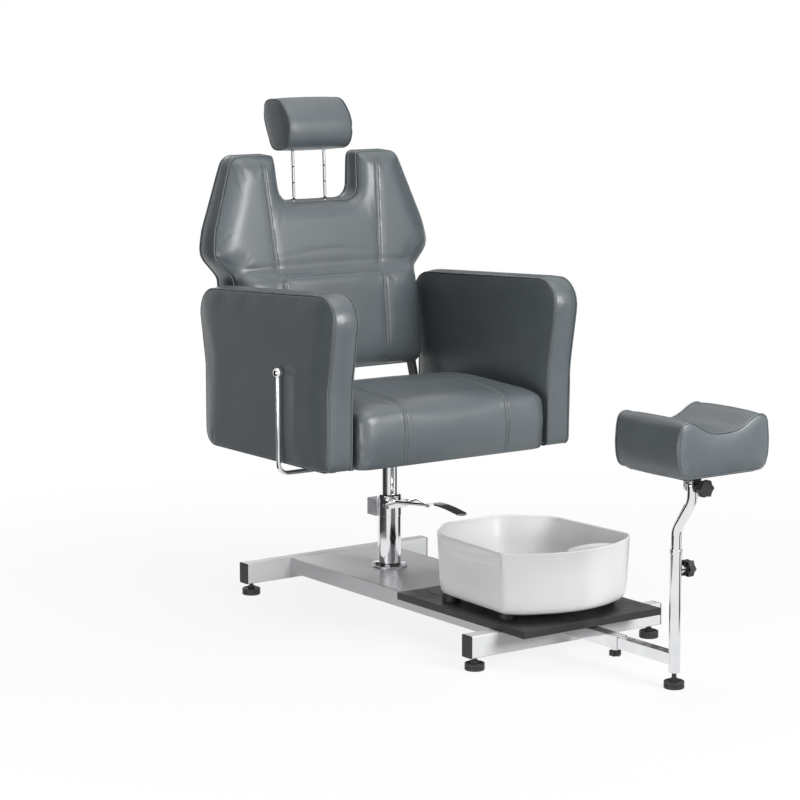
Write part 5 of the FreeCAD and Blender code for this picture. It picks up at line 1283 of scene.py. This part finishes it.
pad_seam_inset, pad_edge, pad_draw, pad_swell = mm(7, 26, 2, 1.5)
pad_seam_y = (pad_front + pad_seam_inset, pad_rear - pad_seam_inset)
front_edge = pillow_edge(pad_seam_y[0], -pad_seam_inset, pad_edge)
back_edge = pillow_edge(pad_seam_y[1], pad_seam_inset, pad_edge)
pad_rings = [pad_outline(y, inset + pad_draw) for y, inset in reversed(front_edge)]
for share in np.linspace(-1, 1, 13)[1:-1]:
    y = (pad_seam_y[0] + pad_seam_y[1]) / 2 + share * (pad_seam_y[1] - pad_seam_y[0]) / 2
    pad_rings.append(pad_outline(y, pad_draw * abs(share) ** 4 - pad_swell * (1 - abs(share) ** 2)))
pad_rings += [pad_outline(y, inset + pad_draw) for y, inset in back_edge]
leg_rest_cover = mesh_piece("leg_rest_cover", [skin(pad_rings)], leatherette)
even_mesh(leg_rest_cover, mm(4.5))
pad_seams = loops_at(pad_outline, pad_seam_y, pad_draw)
swell(leg_rest_cover, pad_seams, even_cap(mm(2.5), mm(2.5)), held=below(pad_base + mm(5)))
covered(leg_rest_cover, pad_seams)
press(leg_rest_cover, pad_seams, edge_profile)
stands_for(leg_rest_cover, "leg_rest_pad", "pad")
welt("leg_rest_welts", leg_rest_cover, pad_seams, "pad", mm(1.8))
print("leg rest faces", len(leg_rest_cover.data.polygons))

# %% [markdown]
# The foot basin is the most visible moulding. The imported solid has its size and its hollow, and
# the finer shape is drawn here: a soft plan, walls that lean out a little, a rolled rim and a
# rounded foot. Each height gets one outline, from under the foot, over the rim and down to the
# inside of the floor, so the whole shell is a single skin with a real wall thickness.

# %% Basin shell
basin_low, basin_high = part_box("basin")
basin_half = mm(184)
basin_front, basin_rear = basin_low.y + mm(4), basin_high.y - mm(4)
basin_base, basin_rim = basin_low.z, basin_high.z
basin_draft = mm(8)
basin_plan_shares = [
    (0.42, 0.0, 0.40),
    (0.92, 0.20, 0.50),
    (1.0, 0.815, 0.13),
    (0.802, 0.904, 1.4),
    (0.282, 1.0, 1.4),
]


basin_length = basin_rear - basin_front
basin_corners = sized(basin_plan_shares, (0.0, basin_rear), (basin_half, -basin_length), basin_half)


def basin_plan(inset):
    """The basin's plan, from the right of the rear round the front and back."""
    return pattern(both_sides(basin_corners), inset, mm(5))


grip_middle = basin_rear - basin_length * 0.53
grip_reach = mm(118)
hollow_depth, hollow_top, hollow_foot = mm(8, 28, 100)
rim_band, rear_dip, rear_dip_half = mm(14, 1.5, 44)


def grip_share(y):
    """Nothing at the two ends of a grip and one in its middle."""
    return np.cos(np.clip((y - grip_middle) / grip_reach, -1, 1) * math.pi / 2)


def basin_ring(inset, z, hollowed=True):
    """One outline of the basin; the sides are hollowed under the grips, and the rim dips at the rear."""
    plan = basin_plan(inset)
    drop = basin_rim - z
    hollow = np.clip((drop - hollow_top) / mm(8), 0, 1) * np.clip((hollow_foot - drop) / mm(60), 0, 1)
    plan[:, 0] -= np.sign(plan[:, 0]) * hollow_depth * grip_share(plan[:, 1]) ** 2 * hollow * hollowed
    near_rim = np.clip((z - basin_rim + rim_band) / rim_band, 0, 1)
    at_rear = plan[:, 1] > basin_rear - mm(30)
    beside = np.clip((np.abs(plan[:, 0]) - rear_dip_half) / mm(14), 0, 1)
    lowered = rear_dip * near_rim * at_rear * (1 - beside * beside * (3 - 2 * beside))
    return np.column_stack((plan, np.full(len(plan), z) - lowered))


wall_shares = (0.25, 0.3, 0.36, 0.42, 0.48, 0.54, 0.6, 0.66, 0.7, 0.74, 0.77, 0.8, 0.84, 0.9)
basin_profile = [
    (basin_draft + mm(26), 0.0),
    (basin_draft + mm(12), mm(0.4)),
    (basin_draft + mm(5), mm(3)),
    (basin_draft + mm(1.4), mm(8)),
    (basin_draft - mm(0.6), mm(16)),
]
basin_rise = basin_rim - basin_base
outside = [(inset, basin_base + rise) for inset, rise in basin_profile]
outside += [(basin_draft * (1 - share), basin_base + basin_rise * share) for share in wall_shares]
rim_turn = np.radians(np.linspace(-20, 200, 9))
rim_half = mm(2.6)
outside += [
    (rim_half - rim_half * math.cos(a), basin_rim - rim_half + rim_half * math.sin(a)) for a in rim_turn
]
wall = mm(4)
thicker = mm(9)
inside = []
for share in reversed(wall_shares):
    drop = basin_rise * (1 - share)
    inset = wall + basin_draft * (1 - share) + thicker * min(1.0, drop / mm(50))
    inside.append((inset, basin_rim - drop))
inside += [(inset + wall + thicker, basin_base + mm(3) + rise) for inset, rise in reversed(basin_profile)]
basin_rings = [basin_ring(inset, z) for inset, z in outside]
basin_rings += [basin_ring(inset, z, hollowed=False) for inset, z in inside]
print("basin rings", len(basin_rings))

# %% [markdown]
# A long grip stands out from each side wall. Seen from above it is a slim crescent; its top falls
# away from the rim like a thumb rest, and its lower edge overhangs, so fingers can hook under it.
# A shallow ledge inside the front rim is a rest for a scrub brush or soap. All three are skins of
# their own that overlap the wall.

# %% Basin grips and ledge


def basin_grip(side):
    """A crescent that follows the side wall, closed at both ends in the wall."""
    plan = basin_plan(0.0)
    ahead = np.roll(plan, -1, axis=0) - np.roll(plan, 1, axis=0)
    out = units(np.column_stack((-ahead[:, 1], ahead[:, 0])))
    out = out * np.sign(np.sum(out * (plan - plan.mean(axis=0)), axis=1))[:, None]
    near = (plan[:, 0] * side > 0) & (np.abs(plan[:, 1] - grip_middle) < grip_reach)
    chosen = np.nonzero(near)[0]
    chosen = chosen[np.argsort(plan[chosen, 1])]
    top = basin_rim - mm(2.5)
    rings = []
    for i in chosen:
        share = grip_share(plan[i, 1])
        stand = mm(14) * share**0.6 - mm(3)
        fall = mm(12) * share**0.5
        low = basin_rim - mm(34) - mm(4) * share
        section = [
            (-mm(2.5), top),
            (stand * 0.5 - mm(0.5), top - fall * 0.35),
            (stand - mm(1.0), top - fall * 0.9),
            (stand, top - fall - mm(2)),
            (stand, low + mm(1.5)),
            (stand - mm(1.2), low),
            (stand - mm(3.0), low + mm(0.6)),
            (-mm(4) - mm(7) * share**2, low + mm(2)),
        ]
        rings.append([(*(plan[i] + out[i] * step), z) for step, z in section])
    return skin([np.array(ring) for ring in rings])


ledge_rows = ((26, 0.82), (11, 0.96), (5, 1.0), (3.4, 0.99), (3.0, 0.96), (4.6, 0.92), (5.0, 0.4))


def basin_ledge():
    """A half-round shelf inside the front wall, through rows of (drop in mm, share of its size)."""
    middle_x, half_width, depth = mm(22, 70, 52)
    plan = basin_plan(wall * 0.6)
    front_wall = plan[plan[:, 1] < (basin_front + basin_rear) / 2]
    front_wall = front_wall[np.argsort(front_wall[:, 0])]
    rings = []
    for drop, grow in ledge_rows:
        ring = []
        for angle in np.linspace(0, math.pi, 19):
            x = middle_x + half_width * grow * math.cos(angle)
            y = np.interp(x, front_wall[:, 0], front_wall[:, 1])
            ring.append((x, y + depth * grow * math.sin(angle), basin_rim - mm(drop)))
        rings.append(np.array(ring))
    return skin(rings)


basin_skins = [skin(basin_rings), basin_grip(1), basin_grip(-1), basin_ledge()]
foot_basin = mesh_piece("foot_basin", basin_skins, white_plastic)
shell = bmesh.new()
shell.from_mesh(foot_basin.data)
bmesh.ops.recalc_face_normals(shell, faces=shell.faces)
shell.to_mesh(foot_basin.data)
shell.free()
dressed(foot_basin, "basin")
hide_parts("basin")
print("basin faces", len(foot_basin.data.polygons))

# %% [markdown]
# The studio is a pale floor and a white room. The camera, and anything shiny, sees the room as
# plain white, and the floor fades into it with distance. Everything else is lit by a dimmer
# version of the room and by four soft lamps, so that a colour renders about as it is written. The
# floor is greyer to light that bounces off it, which keeps the undersides of the cushions dark.

# %% Floor, room and lamps
floor_material = bpy.data.materials.new("studio_floor")
floor_material.use_nodes = True
tree = floor_material.node_tree
tree.nodes.clear()
rays = add(tree, "LightPath").outputs
matte = add(tree, "BsdfDiffuse", {"Color": two_tone(tree, rays["Is Camera Ray"], "#a6a6a6", "#f7f7f7")})
white = (1, 1, 1, 1)
glow = add(tree, "Emission", {"Color": white, "Strength": 1.0})
offset = add(tree, "TexCoord").outputs["Object"]
from_bench = add(tree, "VectorMath", {0: offset}, operation="LENGTH").outputs["Value"]
far_off = remapped(tree, from_bench, 0.6, 2.2, 0.86, 1.0)
straight = computed(tree, "MULTIPLY", rays["Is Camera Ray"], far_off)
reflected = computed(tree, "MAXIMUM", rays["Is Glossy Ray"], rays["Is Transmission Ray"])
white_share = computed(tree, "MAXIMUM", straight, reflected)
mixed = add(tree, "MixShader", {0: white_share, 1: matte.outputs[0], 2: glow.outputs[0]})
add(tree, "OutputMaterial", {"Surface": mixed.outputs[0]})
floor_reach = 60.0
signs = ((-1, -1), (1, -1), (1, 1), (-1, 1))
floor_corners = np.array([(x * floor_reach, y * floor_reach, 0) for x, y in signs])
floor = mesh_piece("studio_floor", [(floor_corners, [(0, 1, 2, 3)])], floor_material)
floor.location = (0.0, 0.6, 0.0)

room = bpy.data.worlds.new("studio_room")
room.use_nodes = True
bpy.context.scene.world = room
tree = room.node_tree
tree.nodes.clear()
rays = add(tree, "LightPath").outputs
seen = computed(tree, "MAXIMUM", rays["Is Camera Ray"], rays["Is Glossy Ray"])
seen = computed(tree, "MAXIMUM", seen, rays["Is Transmission Ray"])
ambient = 0.12
strength = remapped(tree, seen, 0.0, 1.0, ambient, 1.0)
sky = add(tree, "Background", {"Color": white, "Strength": strength})
add(tree, "OutputWorld", {"Surface": sky.outputs[0]})


def lamp(name, place, target, size, watts):
    """A large soft lamp that points at a target."""
    light = bpy.data.lights.new(name, "AREA")
    light.shape = "RECTANGLE"
    light.size, light.size_y = size
    light.energy = watts
    aim(placed(name, light), place, target)


bench_middle = (0.0, 0.9, 0.6)
lamp("front_softbox", (0.9, -3.3, 2.1), bench_middle, (1.8, 1.6), 175)
lamp("left_softbox", (-2.6, -0.1, 0.35), (0.0, 0.6, 0.2), (1.6, 0.5), 27)
lamp("rear_softbox", (1.2, 4.8, 1.7), bench_middle, (1.8, 1.8), 36)
lamp("top_softbox", (0.0, 0.6, 3.4), bench_middle, (2.4, 2.4), 36)

# %% [markdown]
# Chrome in an all-white room would look like plaster. A product studio sets black cards round the
# object, and they are called flags. Here only reflections see them. Three lie on the floor and
# turn up at their far edge, and one hangs behind. They give each tube its dark lines, and they
# deepen the sides of the upholstery.

# %% Black flags for the reflections
flag_material = new_finish("black_flag", Roughness=0.9, Base_Color=linear("#050505"))[0]


def flag(name, middle, spread, rows, columns=9):
    """A dark card bent round the bench, through rows of (reach, height); only reflections see it."""
    corners, faces = [], []
    for reach, rise in rows:
        for angle in np.linspace(middle - spread / 2, middle + spread / 2, columns):
            turn = math.radians(angle)
            corners.append((reach * math.cos(turn), column_y + reach * math.sin(turn), rise))
    for low in range(0, columns * (len(rows) - 1), columns):
        high = low + columns
        faces += [(low + i, low + i + 1, high + i + 1, high + i) for i in range(columns - 1)]
    card = mesh_piece(name, [(np.array(corners), faces)], flag_material)
    card.visible_camera = False
    card.visible_diffuse = False
    card.visible_shadow = False


floor_card = ((0.75, mm(1)), (3.4, mm(1)), (3.4, 2.6))
flag("flag_left", 165, 84, floor_card)
flag("flag_right", 352, 44, floor_card)
flag("flag_rear", 44, 50, ((3.4, 1.05), (3.4, 2.4)))
flag("flag_front_right", 292, 16, ((1.4, mm(1)), (3.0, mm(1)), (3.0, 0.8)))
print("flags stand ready")

# %% [markdown]
# The Standard view transform shows colours as they are written.

# %% Colour
bpy.context.scene.view_settings.view_transform = "Standard"
